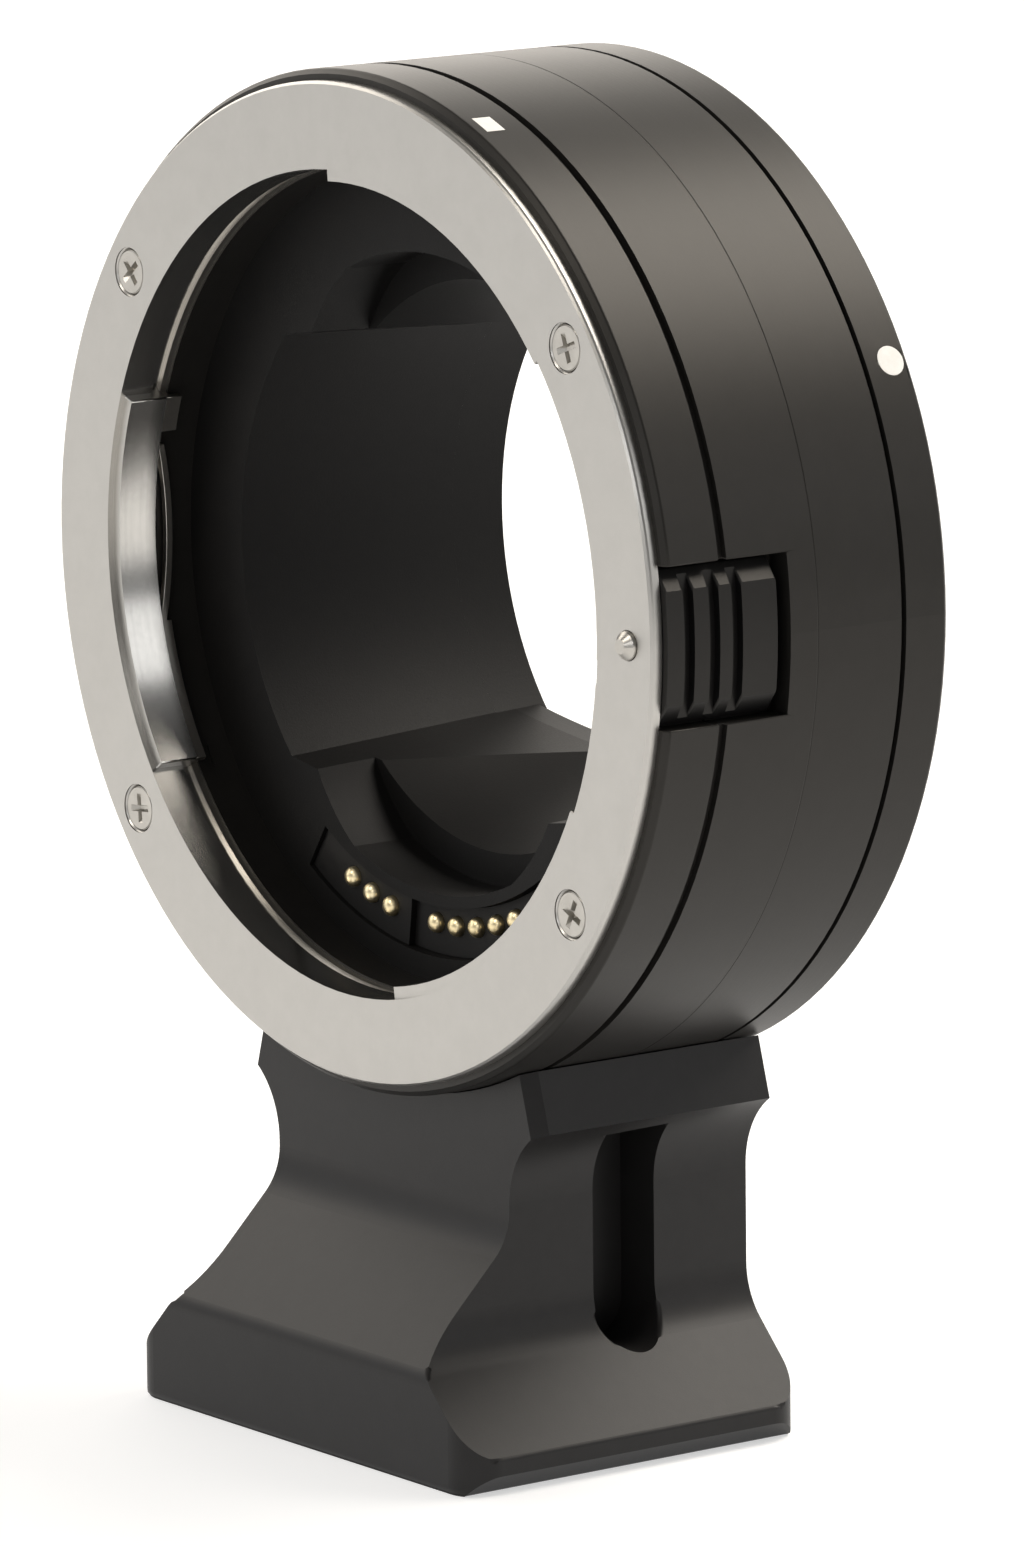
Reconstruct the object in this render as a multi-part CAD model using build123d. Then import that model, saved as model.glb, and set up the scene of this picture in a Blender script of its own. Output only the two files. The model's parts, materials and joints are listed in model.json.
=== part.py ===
from build123d import *
import os
from math import degrees, radians, sqrt, tan

# Lens mount adapter on a tripod foot, in millimetres.
# Row frame: origin at the mouth of the tripod thread, +Z up, lens side towards -Y, release slide on +X.
# Round pieces are drawn about the optical axis: a depth runs rearwards from the lens flange's face, and a
# clock angle is seen from the lens side, in degrees, clockwise from the top.

# Driving sizes
FLANGE_DISTANCE = 26.0    # lens flange face to camera flange face
BARREL_R = 33.45          # outside of the barrel, from which the other radii are set in
SADDLE_LOW = 23.05        # lowest line of the barrel above the base

# Fits
SEAT_GAP = 0.05           # radial room between pieces that are fixed together
RUN_GAP = 0.04            # radial room round a pin that slides
SLIDE_GAP = 0.2           # room round the release slide and its tongue
THREAD_GAP = 0.02         # radial room between a screw and its thread

# Lens bayonet ring
RING_INSET = 0.75
RING_RIM = 0.8            # thickness of the rim that stands in front of the front band
RING_STEP_INSET = 2.25    # thicker middle, let into the front band
RING_THICKNESS = 1.6
RING_EDGE = 0.2
THROAT_INSET = 6.45       # leaves the standard throat
THROAT_DEPTH = 2.5
HUB_WALL = 1.1
HUB_DEPTH = 3.3
HUB_LIP = 0.7             # rear lip of the hub, which clamps the spring ring
TAB_COUNT = 3
TAB_ANGLE = 23.3
TAB_SPAN_ANGLE = 55.0
TAB_RISE = 0.8
TAB_SETBACK = 0.4

# Spring ring behind the tabs
SPRING_RING_T = 0.5
SPRING_RING_WALL = 0.9
LEAF_RISE = 0.6           # leaf's inner edge inside the throat
LEAF_WIDTH = 0.45
LEAF_BOW = 1.05           # how far a leaf stands off its tab in the middle
LEAF_ANGLE = 6.7          # leaf's middle after its tab's centre
LEAF_SPAN_ANGLE = 26.0
ROOT_SPAN_ANGLE = 21.0    # flat part before the leaf
ROOT_T = 0.85
STOP_ANGLE = 24.5         # stop after the leaf's free end
STOP_SPAN_ANGLE = 5.5
STOP_T = 1.3

# Barrel shells
BARREL_EDGE = 0.35
FRONT_BAND_LENGTH = 4.2
FRONT_GROOVE = 0.65
REAR_GROOVE = 0.4
REAR_BAND_LENGTH = 3.5
GROOVE_DEPTH = 0.45
HEAD_DEPTH = 9.5          # length of the barrel's thick front part, which takes the screws
CHAMBER_WALL = 2.65
SPIGOT_WALL = 1.1
SPIGOT_LENGTH = 2.8
END_WALL = 3.2            # rear wall that carries the camera mount
MOUNT_BOSS_INSET = 3.65
MOUNT_BOSS_HEIGHT = 1.0

# Camera bayonet
CAMERA_FLANGE_INSET = 0.8
CAMERA_FLANGE_T = 1.8
BAYONET_LENGTH = 2.4
BAYONET_WALL = 0.65
LUG_COUNT = 3
LUG_ANGLE = 61.7
LUG_SPAN_ANGLE = 44.0
LUG_RISE = 1.2
LUG_T = 1.2
LOCK_SLOT_ANGLE = 100.0
LOCK_SLOT_INSET = 4.2
LOCK_SLOT_WIDTH = 2.4
LOCK_SLOT_LENGTH = 3.8
LOCK_SLOT_DEPTH = 1.2

# Mount screws, countersunk
SCREW_HEAD_R = 1.6
SCREW_HEAD_T = 0.8
SCREW_R = 0.8
SCREW_SINK = 0.1          # head face below the flange's face
LENS_SCREW_INSET = 2.7
LENS_SCREW_ANGLES = (53.0, 127.0, 233.0, 307.0)
LENS_SCREW_LENGTH = 8.0
CAMERA_SCREW_INSET = 3.4
CAMERA_SCREW_ANGLES = (20.0, 140.0, 220.0, 320.0)
CAMERA_SCREW_LENGTH = 4.2

# Light baffle
PLATE_DEPTH = 6.75
PLATE_T = 1.5
PLATE_LIP = 1.0           # plate's rim outside the throat
BAFFLE_INSET = 5.9
BAFFLE_WALL = 0.8
LAND_RISE = 6.55          # shelf's middle above the bore, at its rear end
LAND_ROUND_R = 90.0       # broad hollow round of the shelf
LAND_TILT = 2.4           # shelf's fall towards the lens, in degrees
LAND_DEPTH = 11.55        # where the round ramp in the shelf begins, behind a scoop
RAMP_RISE = 2.2           # ramp's front edge above the bore
RAMP_STEP = 0.45          # ramp's rear edge below the shelf
LAND_SETBACK = 0.6        # lands' end inside the bayonet's end
SCOOP_R = 14.6            # hollow in front of the ramp, which leaves the shelf's corners at the plate
SCOOP_RUNOUT = 1.0        # scoop's lowest point below the bore

# Lens contacts
BLOCK_SETBACK = 0.75      # block's face behind the baffle plate's face
BLOCK_WIDTH = 3.3
BLOCK_SPAN_ANGLE = 66.0
BLOCK_FLANGE_T = 1.35
BLOCK_FLANGE_LIP = 1.0
PIN_INSET = 1.25          # pins' circle outside the block's inner edge
PIN_PITCH_ANGLE = 5.5
PIN_OFFSET_ANGLE = -1.1
PIN_PLACES = (-4, -3, -2, 0, 1, 2, 3, 4)
PIN_R = 0.675
PIN_PROUD = 0.66
BLOCK_STEP = 0.45         # step under the first group of pins
BLOCK_STEP_ANGLE = 187.0  # clock angle where the step starts
PIN_TRAVEL = 0.6
PIN_NECK = 0.5            # length of the block's bore that guides the pin
PIN_TIP_R = 0.35
PIN_TIP_SLOPE = 0.25      # length of the pin's tapered tip
PIN_COLLAR_HALF = 0.9     # half the width of the pin's square collar
PIN_COLLAR_T = 0.35
PIN_COIL_R = 0.6          # contact spring, at the middle of the wire
PIN_COIL_WIRE_R = 0.08
PIN_COIL_TURNS = 2

# Circuit board
BOARD_T = 1.0
BOARD_GAP = 0.3
BOARD_BOSS_R = 1.5
BOARD_BOSS_INSET = 3.1
BOARD_BOSS_ANGLES = (0.0, 100.0, 260.0)
BOARD_SCREW_R = 0.7
BOARD_SCREW_HEAD_R = 1.3
BOARD_SCREW_HEAD_T = 0.7
BOARD_SCREW_LENGTH = 3.2
CHIP_SIZE = 4.0
CHIP_T = 0.9
CHIP_ANGLE = 225.0
CONNECTOR_WIDTH = 9.0
CONNECTOR_HEIGHT = 2.4
CONNECTOR_LENGTH = 2.2
RIBBON_WIDTH = 7.5
RIBBON_T = 0.2
RIBBON_LEAD = 1.2         # straight run before the ribbon turns in towards the lower land
RIBBON_INSET = 1.0        # where the ribbon lies inside the land
RIBBON_ROOM = 0.25

# Camera contacts
PAD_BLOCK_LENGTH = 2.0
PAD_COUNT = 10
PAD_PITCH_ANGLE = 6.0
PAD_INSET = 1.1
PAD_SIZE = 1.2
PAD_T = 0.4
PAD_PROUD = 0.05

# Release slide and lock pin
POCKET_HALF_HEIGHT = 5.17
POCKET_CUT = 2.15         # pocket's floor below the barrel's outside
POCKET_DEPTH = 10.4       # depth of the pocket's rear end
SLIDE_TRAVEL = 0.75
SLIDE_REAR_ROOM = 0.1
SLIDE_INSET = 0.25
SLIDE_GROOVE_DEPTHS = (2.6, 4.6, 6.4)
SLIDE_GROOVE_WIDTH = 0.8
SLIDE_GROOVE_CUT = 0.55
SLIDE_BEVEL = 0.8
SLIDE_RIM_GAP = 0.05
TONGUE_HALF_HEIGHT = 2.2
TONGUE_FRONT = 2.6
TONGUE_LENGTH = 3.6
TONGUE_REACH = 2.2        # tongue's inner end below the pocket's floor
CHANNEL_ROOM = 0.15       # floor of the tongue's channel below the tongue
CHANNEL_DEPTH = 9.9
LOCK_PIN_INSET = 2.5
LOCK_PIN_R = 0.95
LOCK_PIN_PROUD = 0.65
LOCK_PIN_TAIL_R = 0.55
LOCK_PIN_TAIL_END = 8.6
COIL_R = 0.85             # release spring, at the middle of the wire
COIL_WIRE_R = 0.15
COIL_TURNS = 4
COIL_RUNS = 8             # straight runs in one turn of a coil

# Index marks
MARK_ANGLE = 22.3
MARK_INSET = 1.8          # square's middle behind the front band's front
MARK_LENGTH = 1.4         # along the axis
MARK_WIDTH = 1.8          # round the barrel
MARK_T = 0.2
DOT_ANGLE = 61.7
DOT_INSET = 2.0           # dot's middle behind the rear band's front
DOT_R = 1.0

# Tripod foot, with heights from the base
BASE_HALF_WIDTH = 19.05
BASE_FRONT = -4.65        # depth of the base's front
FOOT_REAR_INSET = 0.6     # foot's flat back in front of the rear band's end
BASE_EDGE = 2.4
BASE_EDGE_R = 0.4
BASE_BEVEL = 1.3          # under the base's sides
BASE_CORNER_R = 2.5
BASE_CHAMFER = 0.2
FLARE_R = 5.0
WAIST_HALF_WIDTH = 12.8
WAIST_FRONT = 3.25        # depth of the waist's front face
WAIST_TOP = 17.25
SLOPE_FOOT = 7.2
SLOPE_FOOT_R = 1.5
SLOPE_TOP = 15.1
SLOPE_TOP_R = 4.3
FLANGE_HALF_WIDTH = 15.4
FLANGE_LOW = 22.1
FLANGE_BEVEL = 0.25       # flange's front end set in
FLANGE_BEVEL_LENGTH = 1.35
SADDLE_HALF_WIDTH = 14.15
SADDLE_TOP = 26.4
SADDLE_GAP = 0.1
SLOT_WIDTH = 5.0
SLOT_FLOOR = 9.2
SLOT_BOTTOM = 6.5
SLOT_TOP = 21.2
FOOT_SCREW_ROOM = 0.25    # between the screw's head and the slot's floor
FOOT_SCREW_R = 1.0
FOOT_SCREW_HEAD_R = 1.75
FOOT_SCREW_HEAD_T = 1.9
FOOT_SCREW_LENGTH = 6.5
FOOT_SCREW_HEX = 1.5
FOOT_SCREW_HEX_DEPTH = 1.0
FOOT_SCREW_SINK = 0.1     # head inside its counterbore
HOLE_ROOM = 0.15          # radial room in a screw's clearance hole
BUSH_R = 5.0
BUSH_LENGTH = 9.0
BUSH_THREAD_R = 2.6
BUSH_RELIEF = 1.0         # room past the bush's end

# Radii that follow from the sizes above
ring_r = BARREL_R - RING_INSET
ring_step_r = BARREL_R - RING_STEP_INSET
lens_screw_circle = ring_r - LENS_SCREW_INSET
lock_pin_circle = ring_r - LOCK_PIN_INSET
throat_r = BARREL_R - THROAT_INSET
tab_r = throat_r - TAB_RISE
leaf_r = throat_r - LEAF_RISE
hub_r = throat_r + HUB_WALL
groove_r = BARREL_R - GROOVE_DEPTH
chamber_r = BARREL_R - CHAMBER_WALL
mount_boss_r = BARREL_R - MOUNT_BOSS_INSET
camera_flange_r = mount_boss_r - CAMERA_FLANGE_INSET
camera_screw_circle = mount_boss_r - CAMERA_SCREW_INSET
lock_slot_r = mount_boss_r - LOCK_SLOT_INSET
plate_r = throat_r + PLATE_LIP
baffle_bore = throat_r - BAFFLE_INSET
tube_r = baffle_bore + BAFFLE_WALL
bayonet_r = baffle_bore + BAYONET_WALL
lug_r = bayonet_r + LUG_RISE
shelf_drop = baffle_bore - LAND_RISE
ramp_front_r = baffle_bore - RAMP_RISE
ramp_rear_r = shelf_drop + RAMP_STEP
scoop_drop = baffle_bore + SCOOP_RUNOUT - SCOOP_R
ribbon_r = baffle_bore - RIBBON_INSET
pad_circle = baffle_bore - PAD_INSET
block_r = tube_r + SEAT_GAP
pin_circle = block_r + PIN_INSET
board_boss_circle = tube_r + BOARD_BOSS_INSET
connector_r = (tube_r + plate_r - CONNECTOR_HEIGHT) / 2
slide_face_r = BARREL_R - SLIDE_INSET
pocket_floor = BARREL_R - POCKET_CUT
tongue_root = pocket_floor - TONGUE_REACH

# Depths that follow from the sizes above
spring_seat = HUB_DEPTH + SPRING_RING_T
band_rear = RING_RIM + FRONT_BAND_LENGTH
barrel_front = band_rear + FRONT_GROOVE
mount_seat = FLANGE_DISTANCE - CAMERA_FLANGE_T
rear_band_rear = mount_seat - MOUNT_BOSS_HEIGHT
rear_band_front = rear_band_rear - REAR_BAND_LENGTH
barrel_rear = rear_band_front - REAR_GROOVE
bayonet_end = FLANGE_DISTANCE + BAYONET_LENGTH
plate_rear = PLATE_DEPTH + PLATE_T
block_face = PLATE_DEPTH + BLOCK_SETBACK
block_rear = plate_rear + BLOCK_FLANGE_T
board_rear = block_rear + BOARD_T
ribbon_rise = board_rear + CONNECTOR_LENGTH + RIBBON_LEAD
land_end = bayonet_end - LAND_SETBACK
pad_block_front = land_end - PAD_BLOCK_LENGTH
slide_front = RING_RIM + SLIDE_RIM_GAP
slide_rear = POCKET_DEPTH - SLIDE_TRAVEL - SLIDE_REAR_ROOM
tongue_rear = TONGUE_FRONT + TONGUE_LENGTH
collar_front = block_face + PIN_NECK + SEAT_GAP
collar_rear = collar_front + PIN_COLLAR_T
mark_depth = RING_RIM + MARK_INSET
dot_depth = rear_band_front + DOT_INSET
foot_rear = rear_band_rear - FOOT_REAR_INSET
slot_depth = (barrel_front + barrel_rear) / 2
foot_screw_x = SLOT_FLOOR + FOOT_SCREW_HEAD_R + FOOT_SCREW_ROOM
foot_screw_seat = SLOT_TOP + FOOT_SCREW_SINK + FOOT_SCREW_HEAD_T
lens_face_y = -(BASE_FRONT + foot_rear) / 2
axis_height = SADDLE_LOW + BARREL_R

# Optical axis: local Z runs rearwards, local X stays on the row's X, local Y points down
OPTICAL = Plane(origin=(0, lens_face_y, axis_height), x_dir=(1, 0, 0), z_dir=(0, 1, 0))
LOW = (Align.CENTER, Align.CENTER, Align.MIN)
REACH = 3 * BARREL_R      # longer than any cut needs
OVERCUT = 1.0             # how far a cut starts outside the face that it opens
FULL_TURN = 360.0
SLIDE_SIDE = 90.0         # clock angle of the release slide
BOTTOM = 180.0            # clock angle of the contacts


def outline(*corners):
    """Closed face from corners (x, y) or (x, y, radius)."""
    points = [corner[:2] for corner in corners]
    radii = [corner[2] if len(corner) == 3 else 0 for corner in corners]
    return make_face(FilletPolyline(*points, radius=radii, close=True))


def turned(*corners, span=FULL_TURN):
    """Solid turned about the optical axis from an outline in (radius, depth)."""
    return revolve(Plane.XZ * outline(*corners), Axis.Z, span)


def at(clock, radius=0.0, depth=0.0):
    """Place on the optical axis's clock face, with local X pointing outwards."""
    return Rot(0, 0, clock - SLIDE_SIDE) * Pos(radius, 0, depth)


def arc_block(inner, outer, clock, span, front, rear):
    """Piece of a tube between two radii and two depths, centred on a clock angle."""
    corners = ((inner, front), (outer, front), (outer, rear), (inner, rear))
    return at(clock - span / 2) * turned(*corners, span=span)


def rod(radius, front, rear):
    """Round bar along the local axis between two depths."""
    return Pos(0, 0, front) * Cylinder(radius, rear - front, align=LOW)


def bar(x0, x1, y0, y1, z0, z1):
    """Rectangular block between its limits."""
    return Pos((x0 + x1) / 2, (y0 + y1) / 2, (z0 + z1) / 2) * Box(x1 - x0, y1 - y0, z1 - z0)


def coil(radius, wire_radius, height, turns):
    """Coil spring of square wire in short straight runs, starting at zero on the local axis."""
    runs = COIL_RUNS * turns
    rise = height / runs
    turn = FULL_TURN / COIL_RUNS
    corners = [Rot(0, 0, turn * i) * Pos(radius, 0, rise * i) for i in range(runs + 1)]
    path = Polyline(*[corner.position for corner in corners])
    section = Plane(origin=path @ 0, z_dir=path % 0) * RegularPolygon(wire_radius, 4)
    return sweep(section, path, transition=Transition.RIGHT)


def span_of(length, radius):
    """Angle in degrees that a length takes up round a radius."""
    return degrees(length / radius)


# Screws. Each is drawn pointing along +Z with its head's face at zero.
def countersunk_screw(length):
    """Screw with a flat conical head, without its cross recess."""
    corners = ((0, 0), (SCREW_HEAD_R, 0), (SCREW_R, SCREW_HEAD_T), (SCREW_R, length), (0, length))
    return turned(*corners)


def countersunk_hole(length):
    """Cut for such a screw, through the flange that its head sits in."""
    head = SCREW_HEAD_R + SEAT_GAP
    hole = SCREW_R + HOLE_ROOM
    cone_end = SCREW_HEAD_T - HOLE_ROOM + SEAT_GAP
    corners = ((0, -REACH), (head, -REACH), (head, 0), (hole, cone_end), (hole, length), (0, length))
    return turned(*corners)


def cap_screw():
    """Cap screw with a hexagon socket, head below zero and thread above it."""
    hexagon = extrude(RegularPolygon(FOOT_SCREW_HEX / 2, 6, major_radius=False), FOOT_SCREW_HEX_DEPTH)
    body = rod(FOOT_SCREW_HEAD_R, -FOOT_SCREW_HEAD_T, 0) + rod(FOOT_SCREW_R, 0, FOOT_SCREW_LENGTH)
    return body - Pos(0, 0, -FOOT_SCREW_HEAD_T) * hexagon


# Lens side
def lens_screw_places():
    """Places of the lens ring's screws, head face first."""
    return [at(clock, lens_screw_circle, SCREW_SINK) for clock in LENS_SCREW_ANGLES]


def tab_clocks():
    """Clock angles of the bayonet tabs' centres."""
    return [TAB_ANGLE + FULL_TURN / TAB_COUNT * i for i in range(TAB_COUNT)]


def lens_mount_ring():
    """Bayonet ring: rim, let-in middle, throat and three inward tabs."""
    lip_r = hub_r - HUB_LIP
    ring = turned(
        (throat_r, 0), (ring_r - RING_EDGE, 0), (ring_r, RING_EDGE), (ring_r, RING_RIM),
        (ring_step_r, RING_RIM), (ring_step_r, RING_THICKNESS), (hub_r, RING_THICKNESS),
        (hub_r, HUB_DEPTH), (lip_r, HUB_DEPTH), (lip_r, THROAT_DEPTH), (throat_r, THROAT_DEPTH),
    )
    for clock in tab_clocks():
        ring += arc_block(tab_r, lip_r, clock, TAB_SPAN_ANGLE, TAB_SETBACK, HUB_DEPTH)
    for place in lens_screw_places():
        ring -= place * countersunk_hole(RING_THICKNESS)
    return ring - at(SLIDE_SIDE, lock_pin_circle) * rod(LOCK_PIN_R + RUN_GAP, -REACH, REACH)


def lens_mount_screws():
    """Four screws that hold the ring and the front band to the barrel."""
    return [place * countersunk_screw(LENS_SCREW_LENGTH) for place in lens_screw_places()]


def leaf(clock):
    """Bowed leaf, cut from a tube by two arcs drawn across the clock angle."""
    half = leaf_r * radians(LEAF_SPAN_ANGLE / 2)
    peak = HUB_DEPTH + LEAF_BOW
    front = ThreePointArc((-half, HUB_DEPTH), (0, peak), (half, HUB_DEPTH))
    rear = ThreePointArc((-half, spring_seat), (0, peak + SPRING_RING_T), (half, spring_seat))
    ends = [Line(front @ t, rear @ t) for t in (0, 1)]
    across = Plane(origin=(0, 0, 0), x_dir=(0, 1, 0), z_dir=(1, 0, 0))
    bow = extrude(across * make_face([front, rear, *ends]), BARREL_R)
    tube = arc_block(leaf_r, leaf_r + LEAF_WIDTH, SLIDE_SIDE, 2 * LEAF_SPAN_ANGLE, 0, peak + ROOT_T)
    return at(clock) * (bow & tube)


def lens_spring_ring():
    """Flat ring with a bowed leaf and its stop behind each tab, clamped by the hub's lip."""
    outer = hub_r - SEAT_GAP
    inner = outer - SPRING_RING_WALL
    ring = turned((inner, HUB_DEPTH), (outer, HUB_DEPTH), (outer, spring_seat), (inner, spring_seat))
    wall = leaf_r + LEAF_WIDTH
    for clock in tab_clocks():
        root = clock + LEAF_ANGLE - (LEAF_SPAN_ANGLE + ROOT_SPAN_ANGLE) / 2
        stop = clock + STOP_ANGLE
        ring += leaf(clock + LEAF_ANGLE)
        for middle, span, thickness in ((root, ROOT_SPAN_ANGLE, ROOT_T), (stop, STOP_SPAN_ANGLE, STOP_T)):
            ring += arc_block(leaf_r, wall, middle, span, HUB_DEPTH, HUB_DEPTH + thickness)
            ring += arc_block(leaf_r, outer, middle, span, HUB_DEPTH, spring_seat)
    return ring


# Release slide, its pocket and its lock pin
def slide_pocket():
    """Pocket in the barrel's side, with the deeper channel for the slide's tongue."""
    half = TONGUE_HALF_HEIGHT + SLIDE_GAP
    floor = tongue_root - CHANNEL_ROOM
    pocket = bar(pocket_floor, REACH, -POCKET_HALF_HEIGHT, POCKET_HALF_HEIGHT, 0, POCKET_DEPTH)
    return pocket + bar(floor, REACH, -half, half, 0, CHANNEL_DEPTH)


def release_slide():
    """Ribbed slide with its tongue, which holds the lock pin."""
    half = POCKET_HALF_HEIGHT - SLIDE_GAP
    floor = pocket_floor + SLIDE_GAP / 2
    edge = sqrt(slide_face_r**2 - half**2)
    blank = rod(slide_face_r, slide_front, slide_rear)
    section = outline(
        (floor, -half), (edge - SLIDE_BEVEL, -half), (slide_face_r, -half + SLIDE_BEVEL * 2),
        (slide_face_r, half - SLIDE_BEVEL * 2), (edge - SLIDE_BEVEL, half), (floor, half),
    )
    slide = blank & extrude(section, slide_rear)
    groove_span = 2 * span_of(2 * POCKET_HALF_HEIGHT, slide_face_r)
    for depth in SLIDE_GROOVE_DEPTHS:
        front = depth - SLIDE_GROOVE_WIDTH / 2
        rear = depth + SLIDE_GROOVE_WIDTH / 2
        bottom = slide_face_r - SLIDE_GROOVE_CUT
        slide -= arc_block(bottom, BARREL_R, SLIDE_SIDE, groove_span, front, rear)
    slide += bar(tongue_root, floor, -TONGUE_HALF_HEIGHT, TONGUE_HALF_HEIGHT, TONGUE_FRONT, tongue_rear)
    return slide - Pos(lock_pin_circle, 0, 0) * lock_pin_blank(THREAD_GAP)


def lock_pin_blank(room=0.0):
    """Lock pin on its own axis, grown by the room that its seat needs."""
    step = (TONGUE_FRONT + tongue_rear) / 2
    tip = LOCK_PIN_R / 2
    return turned(
        (0, -LOCK_PIN_PROUD), (LOCK_PIN_R - tip + room, -LOCK_PIN_PROUD),
        (LOCK_PIN_R + room, tip - LOCK_PIN_PROUD), (LOCK_PIN_R + room, step),
        (LOCK_PIN_TAIL_R + room, step), (LOCK_PIN_TAIL_R + room, LOCK_PIN_TAIL_END), (0, LOCK_PIN_TAIL_END),
    )


def lock_pin():
    """Lock pin in its place, standing out of the lens flange."""
    return Pos(lock_pin_circle, 0, 0) * lock_pin_blank()


def release_spring():
    """Coil spring between the slide's tongue and the end of its channel."""
    height = CHANNEL_DEPTH - tongue_rear - 2 * COIL_WIRE_R - 2 * SEAT_GAP
    spring = coil(COIL_R, COIL_WIRE_R, height, COIL_TURNS)
    return Pos(lock_pin_circle, 0, tongue_rear + COIL_WIRE_R + SEAT_GAP) * spring


# Barrel shells
def mark_blank(room=0.0):
    """White square let into the front band."""
    span = span_of(MARK_WIDTH + 2 * room, BARREL_R)
    front = mark_depth - MARK_LENGTH / 2 - room
    rear = mark_depth + MARK_LENGTH / 2 + room
    return arc_block(BARREL_R - MARK_T - room, BARREL_R, MARK_ANGLE, span, front, rear)


def dot_blank(room=0.0):
    """White dot let into the rear band."""
    spot = at(DOT_ANGLE, 0, dot_depth) * Rot(0, 90, 0) * rod(DOT_R + room, 0, REACH)
    front = dot_depth - 2 * DOT_R
    rear = dot_depth + 2 * DOT_R
    span = span_of(rear - front, BARREL_R)
    return spot & arc_block(BARREL_R - MARK_T - room, BARREL_R, DOT_ANGLE, span, front, rear)


def front_band():
    """Front shell, behind the lens ring."""
    step_r = ring_step_r + SEAT_GAP
    bore = hub_r + SEAT_GAP
    band = turned(
        (bore, RING_THICKNESS), (step_r, RING_THICKNESS), (step_r, RING_RIM),
        (BARREL_R - BARREL_EDGE, RING_RIM), (BARREL_R, RING_RIM + BARREL_EDGE), (BARREL_R, band_rear),
        (throat_r, band_rear), (throat_r, spring_seat), (bore, spring_seat),
    )
    for place in lens_screw_places():
        band -= place * rod(SCREW_R + HOLE_ROOM, 0, REACH)
    return band - slide_pocket() - mark_blank(THREAD_GAP)


def main_barrel():
    """Middle shell: thick head with the baffle's seat, then a thin wall round the electronics."""
    head_rear = band_rear + HEAD_DEPTH
    plate_bore = plate_r + SEAT_GAP
    barrel = turned(
        (throat_r, band_rear), (groove_r, band_rear), (groove_r, barrel_front), (BARREL_R, barrel_front),
        (BARREL_R, barrel_rear), (groove_r, barrel_rear), (groove_r, rear_band_front),
        (chamber_r, rear_band_front), (chamber_r, head_rear), (plate_bore, head_rear),
        (plate_bore, PLATE_DEPTH), (throat_r, PLATE_DEPTH),
    )
    for place in lens_screw_places():
        barrel -= place * rod(SCREW_R + THREAD_GAP, 0, LENS_SCREW_LENGTH + HOLE_ROOM)
    foot_hole = rod(FOOT_SCREW_R + THREAD_GAP, 0, FOOT_SCREW_LENGTH + HOLE_ROOM)
    for place in foot_screw_places():
        barrel -= OPTICAL.location.inverse() * place * foot_hole
    return barrel - slide_pocket()


def camera_screw_places():
    """Places of the camera mount's screws, head face first, pointing forwards."""
    face = FLANGE_DISTANCE - SCREW_SINK
    return [at(clock, camera_screw_circle, face) * Rot(180, 0, 0) for clock in CAMERA_SCREW_ANGLES]


def rear_band():
    """Rear shell: threaded spigot, end wall and the boss that the camera mount sits on."""
    spigot_r = chamber_r - SEAT_GAP
    bore = tube_r + SEAT_GAP
    spigot_in = spigot_r - SPIGOT_WALL
    spigot_front = rear_band_front - SPIGOT_LENGTH
    wall_front = mount_seat - END_WALL
    band = turned(
        (bore, wall_front), (spigot_in, wall_front), (spigot_in, spigot_front), (spigot_r, spigot_front),
        (spigot_r, rear_band_front), (BARREL_R, rear_band_front), (BARREL_R, rear_band_rear - BARREL_EDGE),
        (BARREL_R - BARREL_EDGE, rear_band_rear), (mount_boss_r, rear_band_rear),
        (mount_boss_r, mount_seat), (bore, mount_seat),
    )
    for place in camera_screw_places():
        band -= place * rod(SCREW_R + THREAD_GAP, 0, REACH)
    return band - dot_blank(THREAD_GAP)


# Camera side
def camera_mount():
    """Male bayonet with three lugs and the lock slot."""
    mount = turned(
        (baffle_bore, mount_seat), (camera_flange_r, mount_seat),
        (camera_flange_r, FLANGE_DISTANCE - RING_EDGE), (camera_flange_r - RING_EDGE, FLANGE_DISTANCE),
        (bayonet_r, FLANGE_DISTANCE), (bayonet_r, bayonet_end), (baffle_bore, bayonet_end),
    )
    for i in range(LUG_COUNT):
        clock = LUG_ANGLE + FULL_TURN / LUG_COUNT * i
        mount += arc_block(baffle_bore, lug_r, clock, LUG_SPAN_ANGLE, bayonet_end - LUG_T, bayonet_end)
    for place in camera_screw_places():
        mount -= place * countersunk_hole(CAMERA_FLANGE_T)
    slot = extrude(SlotOverall(LOCK_SLOT_LENGTH, LOCK_SLOT_WIDTH, rotation=90), LOCK_SLOT_DEPTH)
    return mount - at(LOCK_SLOT_ANGLE, lock_slot_r, FLANGE_DISTANCE - LOCK_SLOT_DEPTH) * slot


def camera_mount_screws():
    """Four screws that hold the camera mount to the rear band."""
    return [place * countersunk_screw(CAMERA_SCREW_LENGTH) for place in camera_screw_places()]


def shelf(outer, front, rear):
    """Shelf in the bottom of the baffle, between two depths, under a broad, tilted round."""
    place = Pos(0, shelf_drop - LAND_ROUND_R, land_end) * Rot(LAND_TILT, 0, 0)
    whole = rod(outer, 0, bayonet_end) - place * rod(LAND_ROUND_R, -REACH, REACH)
    return whole & rod(BARREL_R, front, rear)


def land(outer, front, rear):
    """Shelf with the round ramp that rises through its middle."""
    ramp = turned(
        (0, LAND_DEPTH), (ramp_front_r, LAND_DEPTH), (ramp_rear_r, land_end), (ramp_rear_r, land_end + OVERCUT),
        (0, land_end + OVERCUT),
    )
    return shelf(outer, front, rear) - ramp


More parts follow.
